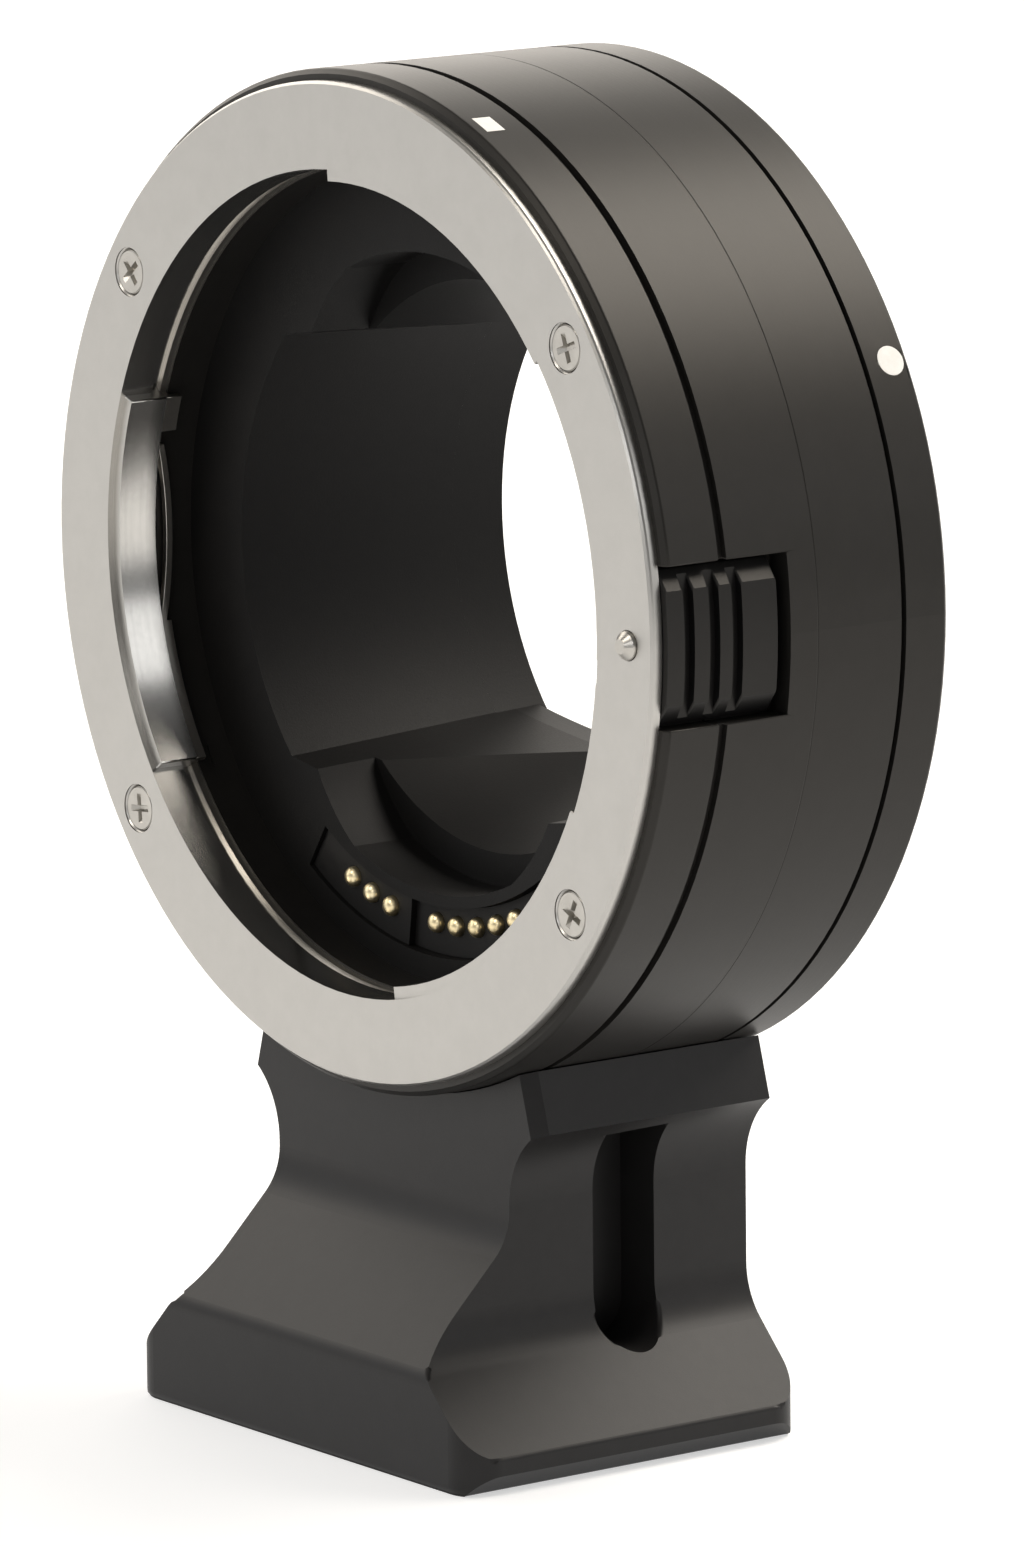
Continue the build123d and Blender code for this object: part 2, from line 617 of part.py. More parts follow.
def land_corners(outer):
    """Corners of the shelf in front of its ramp, either side of the scoop."""
    return shelf(outer, PLATE_DEPTH, LAND_DEPTH) - Pos(0, scoop_drop, 0) * rod(SCOOP_R, 0, LAND_DEPTH)


def ribbon_section(thickness):
    """Ribbon's strip in (depth, distance below the axis), from the connector into the land."""
    low = connector_r + CONNECTOR_HEIGHT / 2
    start = board_rear + CONNECTOR_LENGTH
    landing = ribbon_rise + low - ribbon_r
    line = Polyline((start, low), (ribbon_rise, low), (landing, ribbon_r), (pad_block_front, ribbon_r))
    return trace(line, thickness)


def ribbon_blank(width, thickness):
    """Ribbon, or the room for it, across the bottom of the adapter."""
    side = Plane(origin=(width / 2, 0, 0), x_dir=(0, 0, 1), z_dir=(-1, 0, 0))
    return extrude(side * ribbon_section(thickness), width)


def light_baffle():
    """Inner tube with its front plate, the two lands, the contact window and the board's bosses."""
    inside = tube_r - BAFFLE_WALL / 2
    baffle = turned(
        (baffle_bore, PLATE_DEPTH), (plate_r, PLATE_DEPTH), (plate_r, plate_rear), (tube_r, plate_rear),
        (tube_r, mount_seat), (baffle_bore, mount_seat),
    )
    tongue_r = baffle_bore - SEAT_GAP
    for turn, end in ((180, land_end), (0, pad_block_front)):
        whole = land(inside, LAND_DEPTH, mount_seat) + land(tongue_r, mount_seat, end)
        baffle += Rot(0, 0, turn) * (whole + land_corners(inside))
    for clock in BOARD_BOSS_ANGLES:
        baffle += at(clock, board_boss_circle) * rod(BOARD_BOSS_R, PLATE_DEPTH, block_rear)
    for place in board_screw_places():
        baffle -= place * rod(BOARD_SCREW_R + THREAD_GAP, 0, BOARD_SCREW_LENGTH + HOLE_ROOM)
    window_r = block_r + BLOCK_WIDTH + SEAT_GAP
    window_span = BLOCK_SPAN_ANGLE + 2 * span_of(SEAT_GAP, pin_circle)
    baffle -= arc_block(tube_r, window_r, BOTTOM, window_span, PLATE_DEPTH - OVERCUT, plate_rear + OVERCUT)
    return baffle - ribbon_blank(RIBBON_WIDTH + 2 * RIBBON_ROOM, RIBBON_T + 2 * RIBBON_ROOM)


# Lens contacts and the board behind them
def pin_clocks():
    """Clock angles of the contact pins."""
    return [BOTTOM - PIN_OFFSET_ANGLE - PIN_PITCH_ANGLE * place for place in PIN_PLACES]


def lens_contact_block():
    """Arc that guides the contact pins, held between the baffle's plate and the board."""
    outer = block_r + BLOCK_WIDTH
    flange_span = BLOCK_SPAN_ANGLE + 2 * span_of(BLOCK_FLANGE_LIP, pin_circle)
    block = arc_block(block_r, outer, BOTTOM, BLOCK_SPAN_ANGLE, block_face, plate_rear)
    block += arc_block(block_r, outer + BLOCK_FLANGE_LIP, BOTTOM, flange_span, plate_rear, block_rear)
    step_span = BOTTOM + BLOCK_SPAN_ANGLE / 2 - BLOCK_STEP_ANGLE
    step_middle = BLOCK_STEP_ANGLE + step_span / 2
    block += arc_block(block_r, outer, step_middle, step_span, block_face - BLOCK_STEP, plate_rear)
    well = PIN_COLLAR_HALF + RUN_GAP
    for clock in pin_clocks():
        block -= at(clock, pin_circle) * rod(PIN_R + RUN_GAP, 0, block_rear)
        block -= at(clock, pin_circle) * bar(-well, well, -well, well, block_face + PIN_NECK, block_rear)
    return block


def contact_pin(clock):
    """Contact pin with a tapered tip and the square collar that keeps it in the block."""
    tip = block_face - PIN_PROUD - (BLOCK_STEP if clock > BLOCK_STEP_ANGLE else 0)
    half = PIN_COLLAR_HALF
    shoulder = tip + PIN_TIP_SLOPE
    pin = turned((0, tip), (PIN_TIP_R, tip), (PIN_R, shoulder), (PIN_R, collar_front), (0, collar_front))
    pin += bar(-half, half, -half, half, collar_front, collar_rear)
    return at(clock, pin_circle) * pin


def contact_springs():
    """Coil springs between the pins' collars and the board."""
    height = block_rear - collar_rear - 2 * PIN_COIL_WIRE_R - 2 * SEAT_GAP
    spring = coil(PIN_COIL_R, PIN_COIL_WIRE_R, height, PIN_COIL_TURNS)
    start = collar_rear + PIN_COIL_WIRE_R + SEAT_GAP
    return [at(clock, pin_circle, start) * spring for clock in pin_clocks()]


def board_screw_places():
    """Places of the board's screws, head seat first, pointing forwards."""
    return [at(clock, board_boss_circle, board_rear) * Rot(180, 0, 0) for clock in BOARD_BOSS_ANGLES]


def circuit_board():
    """Ring-shaped board round the baffle's tube."""
    inner = tube_r + BOARD_GAP
    outer = plate_r - BOARD_GAP
    board = turned((inner, block_rear), (outer, block_rear), (outer, board_rear), (inner, board_rear))
    for place in board_screw_places():
        board -= place * rod(BOARD_SCREW_R + HOLE_ROOM, 0, REACH)
    return board


def board_screws():
    """Three pan-head screws into the baffle's bosses."""
    screw = rod(BOARD_SCREW_HEAD_R, -BOARD_SCREW_HEAD_T, 0) + rod(BOARD_SCREW_R, 0, BOARD_SCREW_LENGTH)
    return [place * screw for place in board_screw_places()]


def control_chip():
    """Controller on the rear of the board."""
    half = CHIP_SIZE / 2
    middle = (tube_r + plate_r) / 2
    return at(CHIP_ANGLE, middle) * bar(-half, half, -half, half, board_rear, board_rear + CHIP_T)


def board_connector():
    """Socket on the rear of the board that the ribbon leaves from."""
    half = CONNECTOR_WIDTH / 2
    rear = board_rear + CONNECTOR_LENGTH
    return bar(-half, half, connector_r, connector_r + CONNECTOR_HEIGHT, board_rear, rear)


def flex_ribbon():
    """Film lead from the board to the camera contacts."""
    return ribbon_blank(RIBBON_WIDTH, RIBBON_T)


def pad_clocks():
    """Clock angles of the camera contact pads."""
    return [BOTTOM + PAD_PITCH_ANGLE * (i - (PAD_COUNT - 1) / 2) for i in range(PAD_COUNT)]


def pad_blank(clock, room=0.0):
    """One contact pad let into the rear face of the camera contact block."""
    half = PAD_SIZE / 2 + room
    floor = land_end - PAD_T - room
    return at(clock, pad_circle) * bar(-half, half, -half, half, floor, land_end + PAD_PROUD)


def camera_contact_block():
    """Arc at the end of the lower land that carries the camera contacts."""
    block = land(baffle_bore - SEAT_GAP, pad_block_front, land_end)
    for clock in pad_clocks():
        block -= pad_blank(clock, THREAD_GAP)
    return block


def camera_contact_pads():
    """Ten contact pads."""
    return [pad_blank(clock) for clock in pad_clocks()]


# Tripod foot, drawn in the row frame
def foot_screw_places():
    """Places of the foot's screws, head seat first, pointing up."""
    y = lens_face_y + slot_depth
    return [Pos(side * foot_screw_x, y, foot_screw_seat) for side in (-1, 1)]


def foot_front_outline():
    """Foot seen from the lens side: base, flare, waist, flange and saddle."""
    flare_top = BASE_EDGE + BASE_HALF_WIDTH - WAIST_HALF_WIDTH
    lower = FilletPolyline(
        (0, 0), (BASE_HALF_WIDTH - BASE_BEVEL, 0), (BASE_HALF_WIDTH, BASE_BEVEL), (BASE_HALF_WIDTH, BASE_EDGE),
        (WAIST_HALF_WIDTH, flare_top), (WAIST_HALF_WIDTH, WAIST_TOP), radius=[0, 0, BASE_EDGE_R, FLARE_R],
    )
    cove = TangentArc((WAIST_HALF_WIDTH, WAIST_TOP), (FLANGE_HALF_WIDTH, FLANGE_LOW), tangent=(0, 1))
    brow = (SADDLE_HALF_WIDTH, SADDLE_TOP)
    upper = Polyline((FLANGE_HALF_WIDTH, FLANGE_LOW), brow, (0, SADDLE_TOP), (0, 0))
    half = make_face([*lower.edges(), *cove.edges(), *upper.edges()])
    return half + mirror(half, Plane.YZ)


def foot_side_outline():
    """Foot seen from the side, in (depth, height): flat back, waist and sloped front."""
    return outline(
        (foot_rear, 0), (foot_rear, SADDLE_TOP), (WAIST_FRONT, SADDLE_TOP),
        (WAIST_FRONT, SLOPE_TOP, SLOPE_TOP_R), (BASE_FRONT, SLOPE_FOOT, SLOPE_FOOT_R), (BASE_FRONT, 0),
    )


def flange_bevel():
    """Cut that sets the flange's front end in, parallel to its sloped side."""
    slope = (FLANGE_HALF_WIDTH - SADDLE_HALF_WIDTH) / (SADDLE_TOP - FLANGE_LOW)
    wide = FLANGE_HALF_WIDTH + slope * FLANGE_LOW
    wedge = outline((-FLANGE_BEVEL, 0), (0, FLANGE_BEVEL_LENGTH), (REACH, FLANGE_BEVEL_LENGTH), (REACH, 0))
    lean = Vector(-slope, 0, 1)
    return Pos(wide, lens_face_y + WAIST_FRONT, 0) * extrude(wedge, REACH, dir=lean)


def tripod_foot():
    """Machined foot: three crossed outlines, then the saddle, slots, screw holes and bush seat."""
    base_length = foot_rear - BASE_FRONT
    front = extrude(Plane.XZ * foot_front_outline(), REACH, both=True)
    side_plane = Plane(origin=(0, lens_face_y, 0), x_dir=(0, 1, 0), z_dir=(1, 0, 0))
    side = extrude(side_plane * foot_side_outline(), REACH, both=True)
    plan = extrude(RectangleRounded(2 * BASE_HALF_WIDTH, base_length, BASE_CORNER_R), SADDLE_TOP)
    foot = front & side & plan
    foot = chamfer(foot.faces().sort_by(Axis.Z)[0].edges(), BASE_CHAMFER)
    foot -= OPTICAL * rod(BARREL_R + SADDLE_GAP, -REACH, REACH)
    slot_y = lens_face_y + slot_depth
    half = SLOT_WIDTH / 2
    slot = bar(SLOT_FLOOR, REACH, slot_y - half, slot_y + half, SLOT_BOTTOM + half, SLOT_TOP)
    slot += Pos(SLOT_FLOOR, slot_y, SLOT_BOTTOM + half) * Rot(0, 90, 0) * rod(half, 0, REACH)
    for cut in (slot, flange_bevel()):
        foot -= cut
        foot -= mirror(cut, Plane.YZ)
    for place in foot_screw_places():
        foot -= place * rod(FOOT_SCREW_R + HOLE_ROOM, -OVERCUT, REACH)
        foot -= place * rod(FOOT_SCREW_HEAD_R + HOLE_ROOM, -FOOT_SCREW_HEAD_T - OVERCUT, 0)
    foot -= rod(BUSH_R + THREAD_GAP, -OVERCUT, BUSH_LENGTH + THREAD_GAP)
    return foot - rod(BUSH_THREAD_R, 0, BUSH_LENGTH + BUSH_RELIEF)


def foot_screws():
    """Two cap screws up into the barrel."""
    return [place * cap_screw() for place in foot_screw_places()]


def tripod_bush():
    """Threaded bush in the foot's base."""
    return rod(BUSH_R, 0, BUSH_LENGTH) - rod(BUSH_THREAD_R, -OVERCUT, BUSH_LENGTH + OVERCUT)


def on_axis(pieces):
    """Moves pieces drawn about the optical axis into the row frame."""
    if isinstance(pieces, list):
        return [OPTICAL * piece for piece in pieces]
    return OPTICAL * pieces


def write(node, pieces):
    """Writes one node, a single solid or a group of separate solids."""
    if isinstance(pieces, list):
        pieces = Compound([solid for piece in pieces for solid in piece.solids()])
    export_step(pieces, f"parts/{node}.step")


def main():
    os.makedirs("parts", exist_ok=True)
    turned_pieces = (
        lens_mount_ring, lens_mount_screws, lens_spring_ring, front_band, main_barrel, rear_band,
        release_slide, lock_pin, release_spring, camera_mount, camera_mount_screws, light_baffle,
        lens_contact_block, contact_springs, circuit_board, board_screws, control_chip, board_connector,
        flex_ribbon, camera_contact_block, camera_contact_pads,
    )
    for piece in turned_pieces:
        write(piece.__name__, on_axis(piece()))
    write("lens_index_mark", on_axis(mark_blank()))
    write("camera_index_dot", on_axis(dot_blank()))
    for number, clock in enumerate(pin_clocks(), 1):
        write(f"contact_pin_{number}", on_axis(contact_pin(clock)))
    for piece in (tripod_foot, foot_screws, tripod_bush):
        write(piece.__name__, piece())


main()
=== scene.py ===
"""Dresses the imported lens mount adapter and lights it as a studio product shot.

Sizes held by the classes are in millimetres. Depths run rearwards from the lens flange's face, and clock angles
are in degrees, clockwise from the top as seen from the lens side.
"""

from __future__ import annotations

import json
import logging
import math
from collections.abc import Sequence
from dataclasses import dataclass, field
from enum import Enum
from typing import Any

import bmesh
import bpy
from mathutils import Matrix, Vector
from mathutils.bvhtree import BVHTree
from mathutils.interpolate import poly_3d_calc

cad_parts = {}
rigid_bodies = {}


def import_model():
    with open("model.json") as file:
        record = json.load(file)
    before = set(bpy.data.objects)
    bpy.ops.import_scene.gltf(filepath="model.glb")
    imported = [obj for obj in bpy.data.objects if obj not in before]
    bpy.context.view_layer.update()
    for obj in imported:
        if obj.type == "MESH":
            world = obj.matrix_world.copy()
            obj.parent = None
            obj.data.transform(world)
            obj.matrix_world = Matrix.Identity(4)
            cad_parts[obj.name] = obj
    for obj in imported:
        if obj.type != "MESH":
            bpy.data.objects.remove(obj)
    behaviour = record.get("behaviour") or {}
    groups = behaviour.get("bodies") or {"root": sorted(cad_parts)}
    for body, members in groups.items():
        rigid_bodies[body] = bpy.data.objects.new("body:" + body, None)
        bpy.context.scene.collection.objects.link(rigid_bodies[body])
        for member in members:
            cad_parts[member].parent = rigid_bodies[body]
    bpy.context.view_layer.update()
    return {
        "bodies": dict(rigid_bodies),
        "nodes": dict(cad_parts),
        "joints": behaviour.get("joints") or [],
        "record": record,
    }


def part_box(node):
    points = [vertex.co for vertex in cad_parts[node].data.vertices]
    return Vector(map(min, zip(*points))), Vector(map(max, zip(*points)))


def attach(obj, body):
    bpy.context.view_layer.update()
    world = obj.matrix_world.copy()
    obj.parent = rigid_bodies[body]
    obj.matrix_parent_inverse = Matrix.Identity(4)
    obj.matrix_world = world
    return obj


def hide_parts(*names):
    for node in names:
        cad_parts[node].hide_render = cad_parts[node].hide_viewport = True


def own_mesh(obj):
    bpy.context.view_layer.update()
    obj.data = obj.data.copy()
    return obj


LOG = logging.getLogger("lens_mount_adapter")
MM = 0.001
FULL_TURN = 2 * math.pi
# Radii under this are on a lathe's axis.
ON_AXIS = 1e-6
# Size of the broad mottling, in grains of the fine pattern.
MOTTLE_GRAINS = 12
# Slightly warm white of the studio's main lights, sRGB hex.
WARM_LIGHT = "fff8ee"

Corner = tuple[float, float] | tuple[float, float, float]


class Grain(Enum):
    """How a surface was made, which decides its fine pattern."""

    BLASTED = "blasted"
    TURNED = "turned"
    MOULDED = "moulded"
    POLISHED = "polished"


def linear(code: str) -> tuple[float, float, float, float]:
    """Turns an sRGB hex colour into a linear one.

    Args:
        code: Six hex digits.

    Returns:
        Linear red, green, blue and full alpha.
    """
    channels = [int(code[i:i + 2], 16) / 255 for i in (0, 2, 4)]
    red, green, blue = (c / 12.92 if c <= 0.04045 else ((c + 0.055) / 1.055) ** 2.4 for c in channels)
    return red, green, blue, 1.0


def add_node(
    tree: bpy.types.NodeTree, kind: str, inputs: dict[Any, Any] | None = None, **settings: Any,
) -> bpy.types.Node:
    """Adds one node to a tree.

    Args:
        tree: Shader or geometry node tree.
        kind: The node's type.
        inputs: Values, or sockets to link from, by the input's name or index.
        settings: The node's own properties.

    Returns:
        The new node.
    """
    made = tree.nodes.new(kind)
    for name, value in settings.items():
        setattr(made, name, value)
    for key, value in (inputs or {}).items():
        if isinstance(value, bpy.types.NodeSocket):
            tree.links.new(value, made.inputs[key])
        else:
            made.inputs[key].default_value = value
    return made


@dataclass(frozen=True)
class Finish:
    """One surface finish, made into a material the first time it is asked for.

    Attributes:
        name: The material's common name.
        colour: Main colour, sRGB hex.
        shade: Colour of the darker mottling, sRGB hex.
        grain: How the surface was made.
        grain_mm: Size of the pattern.
        bump_mm: Depth of the pattern.
        roughness: Middle roughness.
        spread: How far the roughness varies either way.
        metallic: 1 for bare metal.
        ior: Index of refraction of a surface that isn't bare metal.
        tint: Tint of that surface's reflections, sRGB hex.
    """

    name: str
    colour: str
    shade: str
    grain: Grain
    grain_mm: float
    bump_mm: float
    roughness: float
    spread: float = 0.05
    metallic: float = 0.0
    ior: float = 1.5
    tint: str = "ffffff"

    def material(self, axis: OpticalAxis) -> bpy.types.Material:
        """Returns the finish's material, built once.

        Args:
            axis: The optical axis, which turned patterns run round.

        Returns:
            The material.
        """
        found = bpy.data.materials.get(self.name)
        if found:
            return found
        material = bpy.data.materials.new(self.name)
        material.use_nodes = True
        tree = material.node_tree
        tree.nodes.clear()
        pattern = self._pattern(tree, axis)
        # Inputs 0, 6 and 7 of a colour mix are its factor and its two colours.
        mix = add_node(tree, "ShaderNodeMix", {
            0: self._cloud(tree), 6: linear(self.shade), 7: linear(self.colour),
        }, data_type="RGBA", blend_type="MIX")
        rough = add_node(tree, "ShaderNodeMapRange", {
            "Value": pattern, "To Min": self.roughness - self.spread, "To Max": self.roughness + self.spread,
        })
        bump = add_node(tree, "ShaderNodeBump", {"Height": pattern, "Distance": self.bump_mm * MM, "Strength": 1.0})
        shader = add_node(tree, "ShaderNodeBsdfPrincipled", {
            "Base Color": mix.outputs[2], "Roughness": rough.outputs[0], "Normal": bump.outputs[0],
            "Metallic": self.metallic,
        })
        if not self.metallic:
            shader.inputs["IOR"].default_value = self.ior
            shader.inputs["Specular Tint"].default_value = linear(self.tint)
        add_node(tree, "ShaderNodeOutputMaterial", {"Surface": shader.outputs[0]})
        return material

    def _pattern(self, tree: bpy.types.NodeTree, axis: OpticalAxis) -> bpy.types.NodeSocket:
        """Adds the fine pattern of the surface.

        Args:
            tree: The material's tree.
            axis: The optical axis.

        Returns:
            Socket with the pattern's height, 0 to 1.
        """
        place = add_node(tree, "ShaderNodeTexCoord").outputs["Object"]
        scale = 1 / (self.grain_mm * MM)
        if self.grain is not Grain.TURNED:
            detail = 2.0 if self.grain is Grain.POLISHED else 4.0
            return add_node(tree, "ShaderNodeTexNoise", {
                "Vector": place, "Scale": scale, "Detail": detail, "Roughness": 0.6,
            }).outputs[0]
        centred = add_node(tree, "ShaderNodeMapping", {"Vector": place, "Location": (0, 0, -axis.height)})
        parts = add_node(tree, "ShaderNodeSeparateXYZ", {0: centred.outputs[0]})
        flat = add_node(tree, "ShaderNodeCombineXYZ", {"X": parts.outputs["X"], "Z": parts.outputs["Z"]})
        radius = add_node(tree, "ShaderNodeVectorMath", {0: flat.outputs[0]}, operation="LENGTH")
        run = add_node(tree, "ShaderNodeMath", {0: radius.outputs["Value"], 1: parts.outputs["Y"]}, operation="ADD")
        lines = add_node(tree, "ShaderNodeTexNoise", {"W": run.outputs[0], "Scale": scale, "Detail": 3.0},
                         noise_dimensions="1D")
        speckle = add_node(tree, "ShaderNodeTexNoise", {"Vector": place, "Scale": scale, "Detail": 2.0})
        both = add_node(tree, "ShaderNodeMath", {0: lines.outputs[0], 1: speckle.outputs[0]}, operation="ADD")
        return add_node(tree, "ShaderNodeMath", {0: both.outputs[0], 1: 0.5}, operation="MULTIPLY").outputs[0]

    def _cloud(self, tree: bpy.types.NodeTree) -> bpy.types.NodeSocket:
        """Adds the broad, faint mottling of the colour.

        Args:
            tree: The material's tree.

        Returns:
            Socket with the mottling, 0 to 1.
        """
        place = add_node(tree, "ShaderNodeTexCoord").outputs["Object"]
        noise = add_node(tree, "ShaderNodeTexNoise", {
            "Vector": place, "Scale": 1 / (MOTTLE_GRAINS * self.grain_mm * MM), "Detail": 5.0, "Roughness": 0.65,
        })
        spread = add_node(tree, "ShaderNodeMapRange", {"Value": noise.outputs[0], "From Min": 0.3, "From Max": 0.7})
        return spread.outputs[0]


class Finishes:
    """The finishes of this adapter."""

    # Dyed oxide over bare aluminium: the metal shows faintly through the dye and warms what it reflects.
    WARM = "fffaf2"
    # Satin chrome over brass: an even, very fine frosting that gives soft, warm grey highlights.
    CHROME = Finish("satin_chrome_plate", "b5b3af", "b1afab", Grain.BLASTED, 0.14, 0.002, 0.34, 0.04, 1.0)
    # The same plate where a tool left it smooth, in the throat: cleaner and brighter reflections.
    THROAT = Finish("turned_chrome_plate", "d4d2ce", "cbc9c5", Grain.TURNED, 0.5, 0.0008, 0.2, 0.04, 1.0)
    # Nickel on screws: clean, a little sharper than the frosted plate.
    NICKEL = Finish("nickel_plated_steel", "bdbab4", "aba8a2", Grain.POLISHED, 0.2, 0.001, 0.32, 0.05, 1.0)
    # Spring steel strip, rolled and left bare: smooth, and brighter than the frosted plate.
    SPRING = Finish("rolled_spring_steel", "cbc7c0", "bcb8b1", Grain.POLISHED, 0.3, 0.0008, 0.32, 0.04, 1.0)
    # Black anodised aluminium, turned and blasted: warm, deep grey with a broad satin sheen.
    ANODISED = Finish(
        "black_anodised_aluminium", "1a1918", "161514", Grain.TURNED, 0.16, 0.002, 0.42, 0.04, 0.0, 1.38, WARM,
    )
    # Slide: as black, with a finer, moulded surface.
    SLIDE = Finish("black_moulded_slide", "0e0e0f", "0b0b0c", Grain.MOULDED, 0.1, 0.002, 0.4, 0.05, 0.0, 1.36, WARM)
    # Foot: milled, fine blasted and anodised, so its broad faces carry a soft sheen.
    FOOT = Finish("fine_blasted_black_foot", "1c1b1b", "181717", Grain.BLASTED, 0.12, 0.004, 0.44, 0.05, 0.0, 1.36)
    # Baffle: moulded with a fine spark-eroded texture that kills reflections.
    BAFFLE = Finish("matte_black_moulding", "0b0a09", "080707", Grain.MOULDED, 0.14, 0.008, 0.6, 0.06, 0.0, 1.3)
    # Contact carriers: plain moulded plastic.
    CARRIER = Finish("black_contact_moulding", "0e0d0d", "0a0909", Grain.MOULDED, 0.12, 0.004, 0.56, 0.06, 0.0, 1.33)
    # Hard gold on the contacts: smooth, so that the round tips hold small white highlights. Its colour is painted
    # paler and whiter than gold, a painted highlight over the whole pin.
    GOLD_PAINTED_PALE = Finish("hard_gold_plate_painted_pale", "fbedc8", "f3dfae", Grain.POLISHED, 0.3, 0.0004, 0.36, 0.03, 1.0)
    # Blackened steel of the cap screws.
    BLACKENED = Finish("blackened_steel", "1a1a1b", "121213", Grain.POLISHED, 0.14, 0.003, 0.4, 0.06, 0.0, 1.5)
    # Index paint, filled into the engraving.
    PAINT = Finish("white_index_paint", "f4f3ef", "e6e4de", Grain.MOULDED, 0.1, 0.004, 0.45, 0.05)
    # Board, connector and film inside: solder resist, nylon and polyimide, each with its maker's usual colour.
    BOARD = Finish("green_solder_resist", "1d5a35", "17482b", Grain.MOULDED, 0.2, 0.004, 0.35, 0.05)
    CREAM = Finish("cream_connector_nylon", "d8cfb8", "c6bca2", Grain.MOULDED, 0.15, 0.005, 0.5, 0.05)
    FILM = Finish("amber_polyimide_film", "b4742a", "9c6122", Grain.POLISHED, 0.4, 0.003, 0.25, 0.05)


@dataclass(frozen=True)
class OpticalAxis:
    """The optical axis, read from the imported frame.

    Attributes:
        height: Height of the axis, in metres.
        face: Y of the lens flange's face, in metres.
    """

    height: float
    face: float

    @classmethod
    def from_frame(cls) -> OpticalAxis:
        """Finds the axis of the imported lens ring.

        Returns:
            The axis.
        """
        low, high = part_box("lens_mount_ring")
        return cls((low.z + high.z) / 2, low.y)

    def point(self, clock: float, radius: float, depth: float) -> Vector:
        """Returns a place on the axis's clock face.

        Args:
            clock: Clock angle in degrees.
            radius: Distance from the axis.
            depth: Depth behind the lens flange.

        Returns:
            The place, in metres.
        """
        turn = math.radians(clock)
        across = Vector((math.sin(turn), 0, math.cos(turn))) * radius * MM
        return across + Vector((0, self.face + depth * MM, self.height))

    def out(self, place: Vector) -> Vector:
        """Returns the way from the axis to a place.

        Args:
            place: The place, in metres.

        Returns:
            The offset square to the axis, in metres.
        """
        return (place - Vector((0, 0, self.height))) * Vector((1, 0, 1))


def rounded(corners: Sequence[Corner], steps: int = 4) -> list[tuple[float, float]]:
    """Rounds the corners of an open outline.

    Args:
        corners: Points, each with an optional corner radius.
        steps: Straight runs in each rounded corner.

    Returns:
        The outline's points.
    """
    points: list[tuple[float, float]] = []
    for i, corner in enumerate(corners):
        here = Vector(corner[:2])
        if len(corner) == 2 or i in (0, len(corners) - 1):
            points.append((here.x, here.y))
            continue
        back = (Vector(corners[i - 1][:2]) - here).normalized()
        ahead = (Vector(corners[i + 1][:2]) - here).normalized()
        half = back.angle(ahead) / 2
        centre = here + (back + ahead).normalized() * corner[2] / math.sin(half)
        start = here + back * corner[2] / math.tan(half) - centre
        end = here + ahead * corner[2] / math.tan(half) - centre
        sweep = start.angle_signed(end)
        for k in range(steps + 1):
            spoke = start.copy()
            spoke.rotate(Matrix.Rotation(-sweep * k / steps, 2))
            points.append((centre.x + spoke.x, centre.y + spoke.y))
    return points


def lathe(outline: Sequence[tuple[float, float]], turns: int = 48) -> bmesh.types.BMesh:
    """Turns an outline of (radius, height) points about the local Z axis.

    Args:
        outline: Open outline that starts and ends on the axis.
        turns: Faces round the axis.

    Returns:
        A closed mesh with its faces outwards.
    """
    mesh = bmesh.new()
    rings = []
    for radius, height in outline:
        if radius < ON_AXIS:
            rings.append([mesh.verts.new((0, 0, height))])
            continue
        angles = [FULL_TURN * k / turns for k in range(turns)]
        rings.append([mesh.verts.new((radius * math.cos(a), radius * math.sin(a), height)) for a in angles])
    for low, high in zip(rings, rings[1:]):
        for k in range(turns):
            corners = [low[k % len(low)], low[(k + 1) % len(low)], high[(k + 1) % len(high)], high[k % len(high)]]
            unique = list(dict.fromkeys(corners))
            if len(unique) > 2:
                mesh.faces.new(unique)
    bmesh.ops.recalc_face_normals(mesh, faces=mesh.faces)
    return mesh


def settle(mesh: bmesh.types.BMesh, name: str, sharp: float = 50.0) -> bpy.types.Mesh:
    """Turns a working mesh into smooth-shaded mesh data, without normals that it brought along.

    Args:
        mesh: The working mesh, which is freed.
        name: Name of the data.
        sharp: Edges over this angle, in degrees, stay sharp.

    Returns:
        The mesh data.
    """
    for face in mesh.faces:
        face.smooth = True
    data = bpy.data.meshes.new(name)
    mesh.to_mesh(data)
    mesh.free()
    data.set_sharp_from_angle(angle=math.radians(sharp))
    brought = data.attributes.get("custom_normal")
    if brought:
        data.attributes.remove(brought)
    return data


def link(name: str, data: bpy.types.Mesh) -> bpy.types.Object:
    """Adds an object to the scene.

    Args:
        name: The object's name.
        data: Mesh that it shows.

    Returns:
        The new object.
    """
    made = bpy.data.objects.new(name, data)
    bpy.context.scene.collection.objects.link(made)
    return made


def baked(piece: bpy.types.Object) -> bpy.types.Object:
    """Turns an object's modifiers into plain mesh data.

    Args:
        piece: Object with modifiers.

    Returns:
        The same object, without modifiers.
    """
    graph = bpy.context.evaluated_depsgraph_get()
    final = piece.evaluated_get(graph)
    data = bpy.data.meshes.new_from_object(final, preserve_all_data_layers=True, depsgraph=graph)
    piece.modifiers.clear()
    piece.data = data
    return piece


